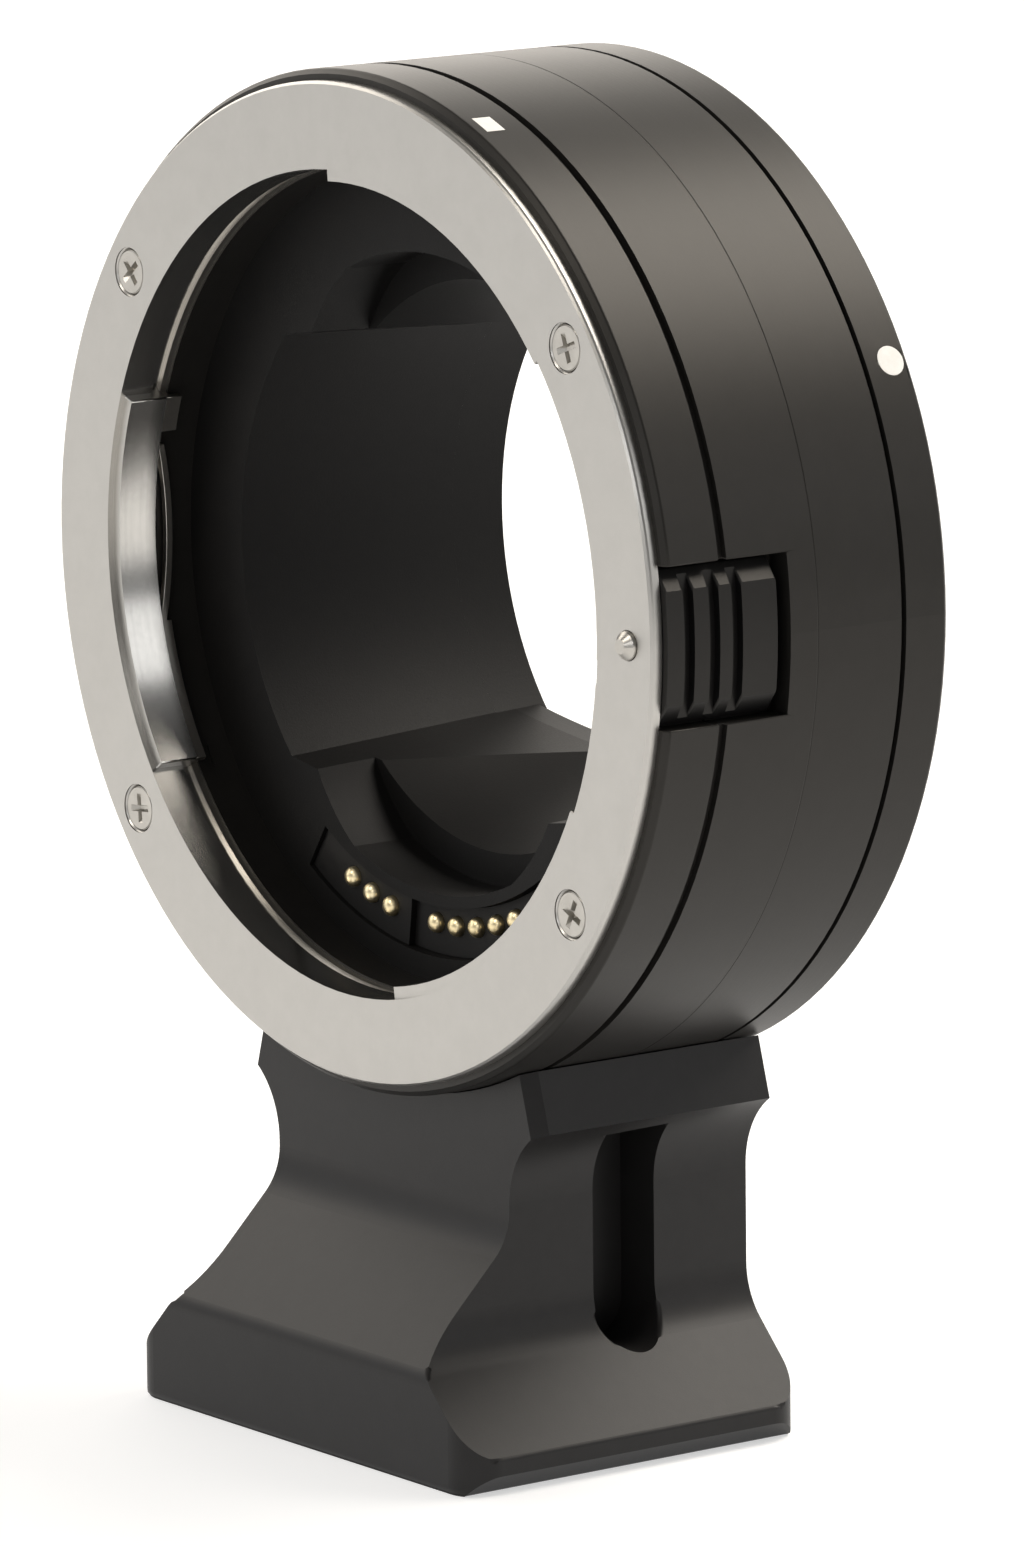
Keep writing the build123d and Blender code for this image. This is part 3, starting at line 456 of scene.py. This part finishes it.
class ExactNormals:
    """Carries a CAD node's exact normals over to a copy with rounded edges."""

    def __init__(self, source: bpy.types.Mesh, reach: float = 0.05) -> None:
        """Reads the node's triangles and their corner normals.

        Args:
            source: The node's mesh.
            reach: How far from a triangle a corner may lie.
        """
        places = [vertex.co.copy() for vertex in source.vertices]
        faces = [tuple(face.vertices) for face in source.polygons]
        split = source.corner_normals
        self.reach = reach * MM
        self.tree = BVHTree.FromPolygons(places, faces)
        self.corners = [[places[k] for k in face] for face in faces]
        self.normals = [[split[k].vector.copy() for k in face.loop_indices] for face in source.polygons]

    def at(self, place: Vector, facing: Vector) -> Vector:
        """Returns the exact normal at a corner.

        Args:
            place: The corner.
            facing: Normal of the face that the corner belongs to.

        Returns:
            The normal of the node's surface that faces the same way.
        """
        near = self.tree.find_nearest_range(place, self.reach)
        if not near:
            return facing
        index = max(near, key=lambda hit: hit[1].dot(facing) - hit[3] / self.reach)[2]
        weights = poly_3d_calc(self.corners[index], place)
        mixed = sum((normal * weight for normal, weight in zip(self.normals[index], weights)), Vector())
        return mixed.normalized() if mixed.dot(facing) > 0 else facing

    def dress(self, data: bpy.types.Mesh) -> None:
        """Sets the normals of a copy whose rounds have material index 1 and whose scored lines have 2.

        Args:
            data: The copy's mesh, whose material indices end at 0.
        """
        normals = [Vector() for _ in data.loops]
        shared: dict[int, Vector] = {}
        for face in data.polygons:
            for k in face.loop_indices if face.material_index == 0 else ():
                spot = data.loops[k].vertex_index
                normals[k] = self.at(data.vertices[spot].co, face.normal)
                shared[spot] = shared.get(spot, Vector()) + normals[k]
        for face in data.polygons:
            for k in face.loop_indices if face.material_index else ():
                spot = data.loops[k].vertex_index
                smooth = shared.get(spot, data.vertices[spot].normal).normalized()
                normals[k] = smooth if face.material_index == 1 else face.normal.copy()
            face.material_index = 0
        data.normals_split_custom_set(normals)


class Workshop:
    """Makes pieces, dresses them and rides them on the frame's bodies in place of their nodes."""

    # Before rounding, corners nearer than this are joined and faces flatter than this, in degrees, are merged.
    WELD = 0.001
    FLAT = 0.3
    # Faces beside a round are at least this many times as wide as the round.
    ROOM = 2.5
    # Straight runs across the round of a plain edge and of a rim.
    EDGE_STEPS = 2
    RIM_STEPS = 3
    # How far a rim's corners may lie from its radius, and a scored line's corners from its depth.
    RIM_SLACK = 0.05
    LINE_SLACK = 0.01
    # Corners this near to a cut, in metres, are on it.
    ON_CUT = 1e-7
    # Corners this near to the largest radius are on the outside.
    SKIN = 0.1
    # A face belongs to the bore when its normal goes inwards by more than this.
    INWARD = 0.3
    # Angle, in degrees, over which the edges of spring wire stay sharp.
    WIRE_SHARP = 30.0
    # Angle that no edge goes over, so that all of them are smooth.
    ALL_SMOOTH = 180.0

    def __init__(self, frame: dict[str, Any]) -> None:
        """Keeps the loaded frame and reads the optical axis.
        """
        self.nodes: dict[str, bpy.types.Object] = frame["nodes"]
        self.slots = {part["node"]: part["material_slot"] for part in frame["record"]["subparts"]}
        behaviour = frame["record"]["behaviour"]
        self.bodies = {node: name for name, group in behaviour["bodies"].items() for node in group}
        self.travels = {joint["name"]: joint["range_m"][1] for joint in behaviour["joints"]}
        self.axis = OpticalAxis.from_frame()

    def paint(self, finish: Finish, *nodes: str) -> None:
        """Gives CAD nodes that stay as they are their finish.

        Args:
            finish: The finish.
            nodes: Names of the nodes.
        """
        for node in nodes:
            self.nodes[node].data.materials.clear()
            self.nodes[node].data.materials.append(finish.material(self.axis))
            LOG.info("painted %s", node)

    def place(self, piece: bpy.types.Object, finish: Finish, *stands_for: str) -> bpy.types.Object:
        """Dresses a piece, rides it on its body and lets it stand for its nodes.

        Args:
            piece: The finished piece.
            finish: Its finish.
            stands_for: Nodes that it replaces, the first of which gives its body.

        Returns:
            The same piece.
        """
        piece.data.materials.clear()
        piece.data.materials.append(finish.material(self.axis))
        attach(piece, self.bodies[stands_for[0]])
        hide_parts(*stands_for)
        LOG.info("placed %s, %d faces", piece.name, len(piece.data.polygons))
        return piece

    def softened(self, node: str, width: float, finish: Finish, limit: float = 35.0,
                 rim: tuple[float, float] | None = None, seam: float | None = None) -> bpy.types.Object:
        """Replaces a node by a copy with small rounds on its outer edges.

        Args:
            node: Name of the node.
            width: Width of the rounds.
            finish: The copy's finish.
            limit: Edges under this angle, in degrees, stay as they are.
            rim: Radius about the optical axis, and width, of rims that are rounded more.
            seam: Depth of a hairline joint round the outside.

        Returns:
            The new piece.
        """
        mesh = bmesh.new()
        mesh.from_mesh(self.nodes[node].data)
        for face in mesh.faces:
            face.material_index = 0
        bmesh.ops.remove_doubles(mesh, verts=mesh.verts, dist=self.WELD * MM)
        bmesh.ops.dissolve_limit(mesh, angle_limit=math.radians(self.FLAT), verts=mesh.verts, edges=mesh.edges)
        edges = [e for e in mesh.edges if self._roomy(e, self.ROOM * width * MM, math.radians(limit))]
        rims = [e for e in edges if rim and self._round(e, rim[0])]
        plain = [e for e in edges if e not in rims]
        rim_width = rim[1] if rim else width
        for group, size, steps in ((rims, rim_width, self.RIM_STEPS), (plain, width, self.EDGE_STEPS)):
            bmesh.ops.bevel(
                mesh, geom=group, offset=size * MM, offset_type="OFFSET", segments=steps, profile=0.5,
                affect="EDGES", clamp_overlap=False, material=1,
            )
        if seam:
            self._score(mesh, seam)
        data = settle(mesh, node + "_soft", self.ALL_SMOOTH)
        ExactNormals(self.nodes[node].data).dress(data)
        return self.place(link(node + "_soft", data), finish, node)

    def _score(self, mesh: bmesh.types.BMesh, depth: float, half: float = 0.06, deep: float = 0.02) -> None:
        """Scores a hairline joint round the outside of a turned piece.

        Args:
            mesh: The working mesh.
            depth: Depth of the line.
            half: Half its width.
            deep: How far it goes in.
        """
        level = self.axis.face + depth * MM
        for offset in (-half, 0, half):
            geometry = [*mesh.verts, *mesh.edges, *mesh.faces]
            bmesh.ops.bisect_plane(
                mesh, geom=geometry, dist=self.ON_CUT, plane_co=(0, level + offset * MM, 0), plane_no=(0, 1, 0),
            )
        outs = {vertex: self.axis.out(vertex.co) for vertex in mesh.verts}
        outside = max(out.length for out in outs.values()) - self.SKIN * MM
        for vertex, out in outs.items():
            if abs(vertex.co.y - level) < self.LINE_SLACK * MM and out.length > outside:
                vertex.co -= out.normalized() * deep * MM
                for face in vertex.link_faces:
                    face.material_index = 2

    def spring(self, node: str, joint: str, pressed_by: str, reach: float) -> None:
        """Makes a piece of one spring, whose shape stays as modelled.

        Args:
            node: Node that holds the spring.
            joint: Joint that presses it.
            pressed_by: Node on the spring's axis.
            reach: Parts of the node further from that axis are left out.
        """
        low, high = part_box(pressed_by)
        middle = (low + high) / 2
        mesh = bmesh.new()
        mesh.from_mesh(self.nodes[node].data)
        far = [v for v in mesh.verts if math.hypot(v.co.x - middle.x, v.co.z - middle.z) > reach * MM]
        bmesh.ops.delete(mesh, geom=far, context="VERTS")
        data = settle(mesh, f"{joint}_spring", self.WIRE_SHARP)
        piece = self.place(link(f"{joint}_spring", data), Finishes.SPRING, node)
        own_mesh(piece)

    def line_bore(self, piece: bpy.types.Object, radius: float, finish: Finish) -> None:
        """Gives the faces that look at the optical axis another finish.

        Args:
            piece: The finished piece.
            radius: Faces further out keep their finish.
            finish: Finish of the bore.
        """
        piece.data.materials.append(finish.material(self.axis))
        for face in piece.data.polygons:
            out = self.axis.out(face.center)
            if out.length < radius * MM and face.normal.dot(out.normalized()) < -self.INWARD:
                face.material_index = len(piece.data.materials) - 1

    def _round(self, edge: bmesh.types.BMEdge, radius: float) -> bool:
        """Tells whether an edge lies on a rim round the optical axis.

        Args:
            edge: The edge.
            radius: The rim's radius.

        Returns:
            True where both its ends are on the rim.
        """
        outs = [self.axis.out(vertex.co).length for vertex in edge.verts]
        return max(abs(out - radius * MM) for out in outs) < self.RIM_SLACK * MM

    @staticmethod
    def _roomy(edge: bmesh.types.BMEdge, room: float, limit: float) -> bool:
        """Tells whether an outer edge has faces wide enough for a round.

        Args:
            edge: The edge.
            room: Width that both faces need.
            limit: Smallest angle between the faces.

        Returns:
            True where the edge can be rounded.
        """
        if len(edge.link_faces) != 2 or not edge.is_convex or edge.calc_face_angle() < limit:
            return False
        along = (edge.verts[1].co - edge.verts[0].co).normalized()
        for loop in edge.link_loops:
            for beside in (loop.link_loop_prev, loop.link_loop_next):
                run = beside.edge.verts[1].co - beside.edge.verts[0].co
                if (run - along * run.dot(along)).length < room and beside.edge.calc_face_angle(0.0) > limit:
                    return False
        return True


@dataclass
class ScrewHead:
    """Countersunk screw with a cross recess, drawn with its face at zero and its shank below it."""

    head_r: float = 1.6
    head_t: float = 0.8
    shank_r: float = 0.8
    length: float = 4.0
    edge: float = 0.08
    wing_half: float = 0.22
    wing_reach: float = 0.98
    recess_depth: float = 0.4
    recess_taper: float = 0.5
    neck: float = 0.1
    turns: int = 48
    sharp: float = 35.0

    def data(self, name: str) -> bpy.types.Mesh:
        """Makes the screw's mesh, in metres.

        Args:
            name: Name of the data.

        Returns:
            The mesh data.
        """
        outline = rounded([
            (self.head_r - 2 * self.edge, 0), (self.head_r, 0, self.edge), (self.shank_r, -self.head_t, self.neck),
            (self.shank_r, -self.length, self.neck), (0, -self.length),
        ])
        mesh = lathe(outline, self.turns)
        rim = [e for e in mesh.edges if e.is_boundary]
        mouth = self._cross(mesh, 1.0, 0.0)
        floor = self._cross(mesh, self.recess_taper, -self.recess_depth)
        for k, corner in enumerate(mouth):
            after = (k + 1) % len(mouth)
            mesh.faces.new((corner, mouth[after], floor[after], floor[k]))
        mesh.faces.new(floor)
        lip = [mesh.edges.get((mouth[k], mouth[(k + 1) % len(mouth)])) for k in range(len(mouth))]
        bmesh.ops.triangle_fill(mesh, edges=rim + lip, use_beauty=True)
        bmesh.ops.recalc_face_normals(mesh, faces=mesh.faces)
        bmesh.ops.scale(mesh, vec=(MM, MM, MM), verts=mesh.verts)
        return settle(mesh, name, self.sharp)

    def _cross(self, mesh: bmesh.types.BMesh, scale: float, height: float) -> list[bmesh.types.BMVert]:
        """Adds the corners of a cross outline.

        Args:
            mesh: The working mesh.
            scale: Size of the cross.
            height: Its height.

        Returns:
            The corners in order.
        """
        half, reach = self.wing_half, self.wing_reach
        quarter = [(reach, -half), (reach, half), (half, half)]
        corners = []
        for k in range(4):
            turn = Matrix.Rotation(k * math.pi / 2, 2)
            corners += [turn @ Vector(corner) for corner in quarter]
        return [mesh.verts.new((c.x * scale, c.y * scale, height)) for c in corners]


class Scatter:
    """Geometry Nodes tree that sets one copy of a template on each point of a guide."""

    def __init__(self, name: str) -> None:
        """Builds the tree.

        Args:
            name: Name of the tree.
        """
        self.tree = bpy.data.node_groups.new(name, "GeometryNodeTree")
        face = self.tree.interface
        face.new_socket("Geometry", in_out="INPUT", socket_type="NodeSocketGeometry")
        self.template = face.new_socket("Template", in_out="INPUT", socket_type="NodeSocketObject")
        self.scale = face.new_socket("Scale", in_out="INPUT", socket_type="NodeSocketFloat")
        self.finish = face.new_socket("Finish", in_out="INPUT", socket_type="NodeSocketMaterial")
        face.new_socket("Geometry", in_out="OUTPUT", socket_type="NodeSocketGeometry")
        given = add_node(self.tree, "NodeGroupInput")
        source = add_node(self.tree, "GeometryNodeObjectInfo", {"Object": given.outputs["Template"]})
        euler = add_node(self.tree, "GeometryNodeInputNamedAttribute", {"Name": "facing"}, data_type="FLOAT_VECTOR")
        facing = add_node(self.tree, "FunctionNodeEulerToRotation", {0: euler.outputs[0]})
        copies = add_node(self.tree, "GeometryNodeInstanceOnPoints", {
            "Points": given.outputs["Geometry"], "Instance": source.outputs["Geometry"],
            "Rotation": facing.outputs[0], "Scale": given.outputs["Scale"],
        })
        real = add_node(self.tree, "GeometryNodeRealizeInstances", {0: copies.outputs[0]})
        dressed = add_node(self.tree, "GeometryNodeSetMaterial", {
            "Geometry": real.outputs[0], "Material": given.outputs["Finish"],
        })
        add_node(self.tree, "NodeGroupOutput", {0: dressed.outputs[0]})

    def run(self, name: str, template: bpy.types.Mesh, places: Sequence[tuple[Vector, Vector]],
            material: bpy.types.Material) -> bpy.types.Object:
        """Makes the copies.

        Args:
            name: Name of the finished piece.
            template: Mesh that is copied.
            places: Point and Euler turn of each copy.
            material: The copies' material.

        Returns:
            One plain mesh object.
        """
        guide = bpy.data.meshes.new(name)
        guide.from_pydata([place for place, _ in places], [], [])
        facing = guide.attributes.new("facing", "FLOAT_VECTOR", "POINT")
        for spot, (_, turn) in zip(facing.data, places):
            spot.vector = turn
        original = bpy.data.objects.new(name + "_template", template)
        piece = link(name, guide)
        modifier = piece.modifiers.new("scatter", "NODES")
        modifier.node_group = self.tree
        modifier[self.template.identifier] = original
        modifier[self.scale.identifier] = 1.0
        modifier[self.finish.identifier] = material
        baked(piece)
        bpy.data.objects.remove(original)
        return piece


@dataclass(frozen=True)
class ScrewCircle:
    """Countersunk screws on a circle about the optical axis.

    Attributes:
        name: Name of the finished piece.
        node: Node that it replaces.
        radius: Radius of the circle.
        depth: Depth of the heads' faces.
        length: Length of a screw.
        clocks: Clock angle of each screw.
        turns: How far each screw was turned when it was tightened, in degrees.
        rearward: True where the heads face the camera.
    """

    name: str
    node: str
    radius: float
    depth: float
    length: float
    clocks: tuple[float, ...]
    turns: tuple[float, ...]
    rearward: bool = False

    def build(self, shop: Workshop, scatter: Scatter) -> None:
        """Builds and places the screws.

        Args:
            shop: The workshop.
            scatter: Tree that copies a screw to its places.
        """
        way = -1 if self.rearward else 1
        places = []
        for clock, turn in zip(self.clocks, self.turns):
            facing = Vector((way * math.pi / 2, math.radians(-way * turn), 0))
            places.append((shop.axis.point(clock, self.radius, self.depth), facing))
        head = ScrewHead(length=self.length).data(self.name + "_head")
        piece = scatter.run(self.name, head, places, Finishes.NICKEL.material(shop.axis))
        shop.place(piece, Finishes.NICKEL, self.node)


@dataclass
class LensBayonet:
    """Silver bayonet ring with its screws, spring ring and lock pin."""

    shop: Workshop
    scatter: Scatter
    edge: float = 0.12
    spring_edge: float = 0.05
    pin_edge: float = 0.1
    throat_r: float = 27.6
    screws: ScrewCircle = ScrewCircle(
        "lens_screws", "lens_mount_screws", radius=30.0, depth=0.1, length=8.0,
        clocks=(53.0, 127.0, 233.0, 307.0), turns=(20.0, 65.0, 5.0, 40.0),
    )

    def build(self) -> None:
        """Builds and places the sub-assembly."""
        ring = self.shop.softened("lens_mount_ring", self.edge, Finishes.CHROME)
        self.shop.line_bore(ring, self.throat_r, Finishes.THROAT)
        self.shop.softened("lens_spring_ring", self.spring_edge, Finishes.SPRING)
        self.shop.softened("lock_pin", self.pin_edge, Finishes.NICKEL)
        self.screws.build(self.shop, self.scatter)


@dataclass
class Barrel:
    """The three black turned shells and their index marks."""

    shop: Workshop
    edge: float = 0.12
    seam_depth: float = 12.6

    def build(self) -> None:
        """Builds and places the sub-assembly."""
        self.shop.softened("main_barrel", self.edge, Finishes.ANODISED, seam=self.seam_depth)
        for node in ("front_band", "rear_band"):
            self.shop.softened(node, self.edge, Finishes.ANODISED)
        self.shop.paint(Finishes.PAINT, "lens_index_mark", "camera_index_dot")


@dataclass
class Release:
    """Ribbed slide and its spring."""

    shop: Workshop
    edge: float = 0.12
    spring_reach: float = 4.0

    def build(self) -> None:
        """Builds and places the sub-assembly."""
        self.shop.softened("release_slide", self.edge, Finishes.SLIDE)
        self.shop.spring("release_spring", "release_slide_press", "lock_pin", self.spring_reach)


@dataclass
class LensContacts:
    """Contact block, the eight sprung pins and their springs."""

    shop: Workshop
    pin_count: int = 8
    pin_r: float = 0.675
    dome: float = 0.55
    dome_steps: int = 10
    pin_turns: int = 32
    collar_half: float = 0.9
    collar_t: float = 0.35
    edge: float = 0.03
    spring_reach: float = 1.1

    def build(self) -> None:
        """Builds and places the sub-assembly."""
        self.shop.softened("lens_contact_block", self.edge, Finishes.CARRIER)
        for number in range(1, self.pin_count + 1):
            pin = f"contact_pin_{number}"
            self._pin(pin)
            self.shop.spring("contact_springs", f"{pin}_press", pin, self.spring_reach)

    def _pin(self, node: str) -> None:
        """Makes one domed pin where its node is.

        Args:
            node: Name of the pin's node.
        """
        low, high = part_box(node)
        length = (high.y - low.y) / MM
        turns = [math.pi / 2 * k / self.dome_steps for k in range(self.dome_steps + 1)]
        outline = [(self.pin_r * math.sin(turn), self.dome * (1 - math.cos(turn))) for turn in turns]
        outline += [
            (self.pin_r, length - self.collar_t), (self.collar_half, length - self.collar_t),
            (self.collar_half, length), (0, length),
        ]
        mesh = lathe(outline, self.pin_turns)
        middle = (low + high) / 2
        place = Matrix.Translation((middle.x, low.y, middle.z)) @ Matrix.Rotation(-math.pi / 2, 4, "X")
        mesh.transform(place @ Matrix.Scale(MM, 4))
        bmesh.ops.recalc_face_normals(mesh, faces=mesh.faces)
        piece = link(node + "_dome", settle(mesh, node + "_dome"))
        # The pin's pale colour is a painted highlight, not the gold's own colour.
        self.shop.place(piece, Finishes.GOLD_PAINTED_PALE, node)


@dataclass
class Baffle:
    """Light baffle and the electronics behind it."""

    shop: Workshop
    edge: float = 0.03
    rim: tuple[float, float] = (21.1, 0.35)

    def build(self) -> None:
        """Builds and places the sub-assembly."""
        self.shop.softened("light_baffle", self.edge, Finishes.BAFFLE, rim=self.rim)
        self.shop.paint(Finishes.BOARD, "circuit_board")
        self.shop.paint(Finishes.NICKEL, "board_screws")
        self.shop.paint(Finishes.CARRIER, "control_chip")
        self.shop.paint(Finishes.CREAM, "board_connector")
        self.shop.paint(Finishes.FILM, "flex_ribbon")


@dataclass
class CameraBayonet:
    """Plated male bayonet, its screws and the camera contacts."""

    shop: Workshop
    scatter: Scatter
    edge: float = 0.12
    block_edge: float = 0.08
    pad_edge: float = 0.06
    bore_r: float = 21.3
    screws: ScrewCircle = ScrewCircle(
        "camera_screws", "camera_mount_screws", radius=26.4, depth=25.9, length=4.2,
        clocks=(20.0, 140.0, 220.0, 320.0), turns=(12.0, 70.0, 33.0, 55.0), rearward=True,
    )

    def build(self) -> None:
        """Builds and places the sub-assembly."""
        mount = self.shop.softened("camera_mount", self.edge, Finishes.CHROME)
        self.shop.line_bore(mount, self.bore_r, Finishes.BAFFLE)
        self.shop.softened("camera_contact_block", self.block_edge, Finishes.CARRIER)
        # The pads take the same gold, painted pale as a painted highlight.
        self.shop.softened("camera_contact_pads", self.pad_edge, Finishes.GOLD_PAINTED_PALE)
        self.screws.build(self.shop, self.scatter)


@dataclass
class TripodFoot:
    """Foot with its screws and the threaded bush."""

    shop: Workshop
    edge: float = 0.3
    screw_edge: float = 0.15
    bush_edge: float = 0.2

    def build(self) -> None:
        """Builds and places the sub-assembly."""
        self.shop.softened("tripod_foot", self.edge, Finishes.FOOT)
        self.shop.softened("foot_screws", self.screw_edge, Finishes.BLACKENED)
        self.shop.softened("tripod_bush", self.bush_edge, Finishes.NICKEL)


@dataclass
class Softbox:
    """One area light.

    Attributes:
        name: Its name.
        place: Where it stands, in metres.
        aim: What it points at, in metres.
        size: Width and height, in metres.
        power: In watts.
        tint: Colour of its light, sRGB hex.
    """

    name: str
    place: tuple[float, float, float]
    aim: tuple[float, float, float]
    size: tuple[float, float]
    power: float
    tint: str = "ffffff"

    def build(self) -> None:
        """Adds the light to the scene."""
        lamp = bpy.data.lights.new(self.name, "AREA")
        lamp.shape = "RECTANGLE"
        lamp.size, lamp.size_y = self.size
        lamp.energy = self.power
        lamp.color = linear(self.tint)[:3]
        made = bpy.data.objects.new(self.name, lamp)
        made.location = self.place
        made.rotation_euler = (Vector(self.aim) - Vector(self.place)).to_track_quat("-Z", "Y").to_euler()
        bpy.context.scene.collection.objects.link(made)


@dataclass
class Studio:
    """Pale floor, soft light and the camera at the photograph's angle.

    Attributes:
        azimuth: Camera's angle round the part, in degrees.
        elevation: Its angle above the floor.
        roll: Its turn about its own axis.
        distance: Its distance from the target.
        target: What it points at.
        lens: Its focal length.
        sensor: Height of its sensor.
        floor_half: Half the floor's width, in metres.
        floor_colour: The floor's colour, sRGB hex.
        floor_roughness: The floor's roughness.
        glow: Strength of the light from below the floor.
        sky: Strength of the light from all round.
        lamps: The area lights.
    """

    azimuth: float = 53.415
    elevation: float = 10.343
    roll: float = -0.611
    distance: float = 678.18
    target: tuple[float, float, float] = (0.48, 4.0, 42.71)
    lens: float = 240.53
    sensor: float = 36.0
    floor_half: float = 4.0
    floor_colour: str = "c6c6c6"
    floor_roughness: float = 0.9
    glow: float = 0.54
    sky: float = 0.2
    lamps: list[Softbox] = field(default_factory=lambda: [
        Softbox("overhead", (0.15, 0.57, 0.77), (0, 0, 0.03), (0.55, 0.7), 9.6, WARM_LIGHT),
        Softbox("left_side", (-0.85, -0.15, 0.62), (0, 0, 0.03), (0.6, 0.6), 3.0, WARM_LIGHT),
        Softbox("lens_side", (-0.7, -0.75, 0.45), (0, 0, 0.05), (0.7, 0.7), 2.0),
        Softbox("front_top", (0.0, -0.8, 0.85), (0, 0, 0.045), (0.3, 0.4), 2.8, WARM_LIGHT),
        Softbox("camera_side", (0.5, -0.69, 0.38), (0, 0, 0.03), (0.25, 0.25), 0.7),
        Softbox("right_back", (0.8, 0.6, 0.34), (0, 0, 0.05), (0.5, 0.35), 0.8),
        Softbox("backdrop", (-1.25, 0.93, 0.6), (0, 0, 0.05), (1.6, 0.9), 13.0, WARM_LIGHT),
    ])

    def build(self) -> None:
        """Builds the floor, the lights and the camera."""
        self._floor()
        self._sky()
        for lamp in self.lamps:
            lamp.build()
        self._camera()

    def _floor(self) -> None:
        """Lays a light table's pale top under the foot."""
        half = self.floor_half
        data = bpy.data.meshes.new("floor")
        corners = [(-half, -half, 0), (half, -half, 0), (half, half, 0), (-half, half, 0)]
        data.from_pydata(corners, [], [(0, 1, 2, 3)])
        floor = link("floor", data)
        material = bpy.data.materials.new("pale_paper")
        material.use_nodes = True
        shader = material.node_tree.nodes["Principled BSDF"]
        shader.inputs["Base Color"].default_value = linear(self.floor_colour)
        shader.inputs["Roughness"].default_value = self.floor_roughness
        shader.inputs["Emission Color"].default_value = linear("ffffff")
        shader.inputs["Emission Strength"].default_value = self.glow
        data.materials.append(material)

    def _sky(self) -> None:
        """Sets the plain surroundings."""
        world = bpy.data.worlds.new("studio")
        world.use_nodes = True
        shade = world.node_tree.nodes["Background"]
        shade.inputs["Color"].default_value = linear("ffffff")
        shade.inputs["Strength"].default_value = self.sky
        bpy.context.scene.world = world

    def _camera(self) -> None:
        """Stands the camera where the photograph was taken from."""
        turn, rise, roll = (math.radians(a) for a in (self.azimuth, self.elevation, self.roll))
        back = Vector((math.sin(turn) * math.cos(rise), -math.cos(turn) * math.cos(rise), math.sin(rise)))
        right = (-back).cross(Vector((0, 0, 1))).normalized()
        up = right.cross(-back)
        tilted = right * math.cos(roll) + up * math.sin(roll)
        above = up * math.cos(roll) - right * math.sin(roll)
        data = bpy.data.cameras.new("camera")
        data.lens = self.lens
        data.sensor_fit = "VERTICAL"
        data.sensor_height = self.sensor
        data.clip_start = 0.01
        camera = bpy.data.objects.new("camera", data)
        spot = (Vector(self.target) + back * self.distance) * MM
        camera.matrix_world = Matrix.Translation(spot) @ Matrix((tilted, above, back)).transposed().to_4x4()
        bpy.context.scene.collection.objects.link(camera)
        bpy.context.scene.camera = camera


def main() -> None:
    """Builds every sub-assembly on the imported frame, then the studio."""
    logging.basicConfig(level=logging.INFO, format="%(name)s: %(message)s")
    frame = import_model()
    shop = Workshop(frame)
    scatter = Scatter("set_on_points")
    for assembly in (
        LensBayonet(shop, scatter), Barrel(shop), Release(shop), LensContacts(shop), Baffle(shop),
        CameraBayonet(shop, scatter), TripodFoot(shop),
    ):
        assembly.build()
        LOG.info("built %s", type(assembly).__name__)
    Studio().build()
    bpy.context.scene.view_settings.view_transform = "Standard"


if __name__ == "__main__":
    main()
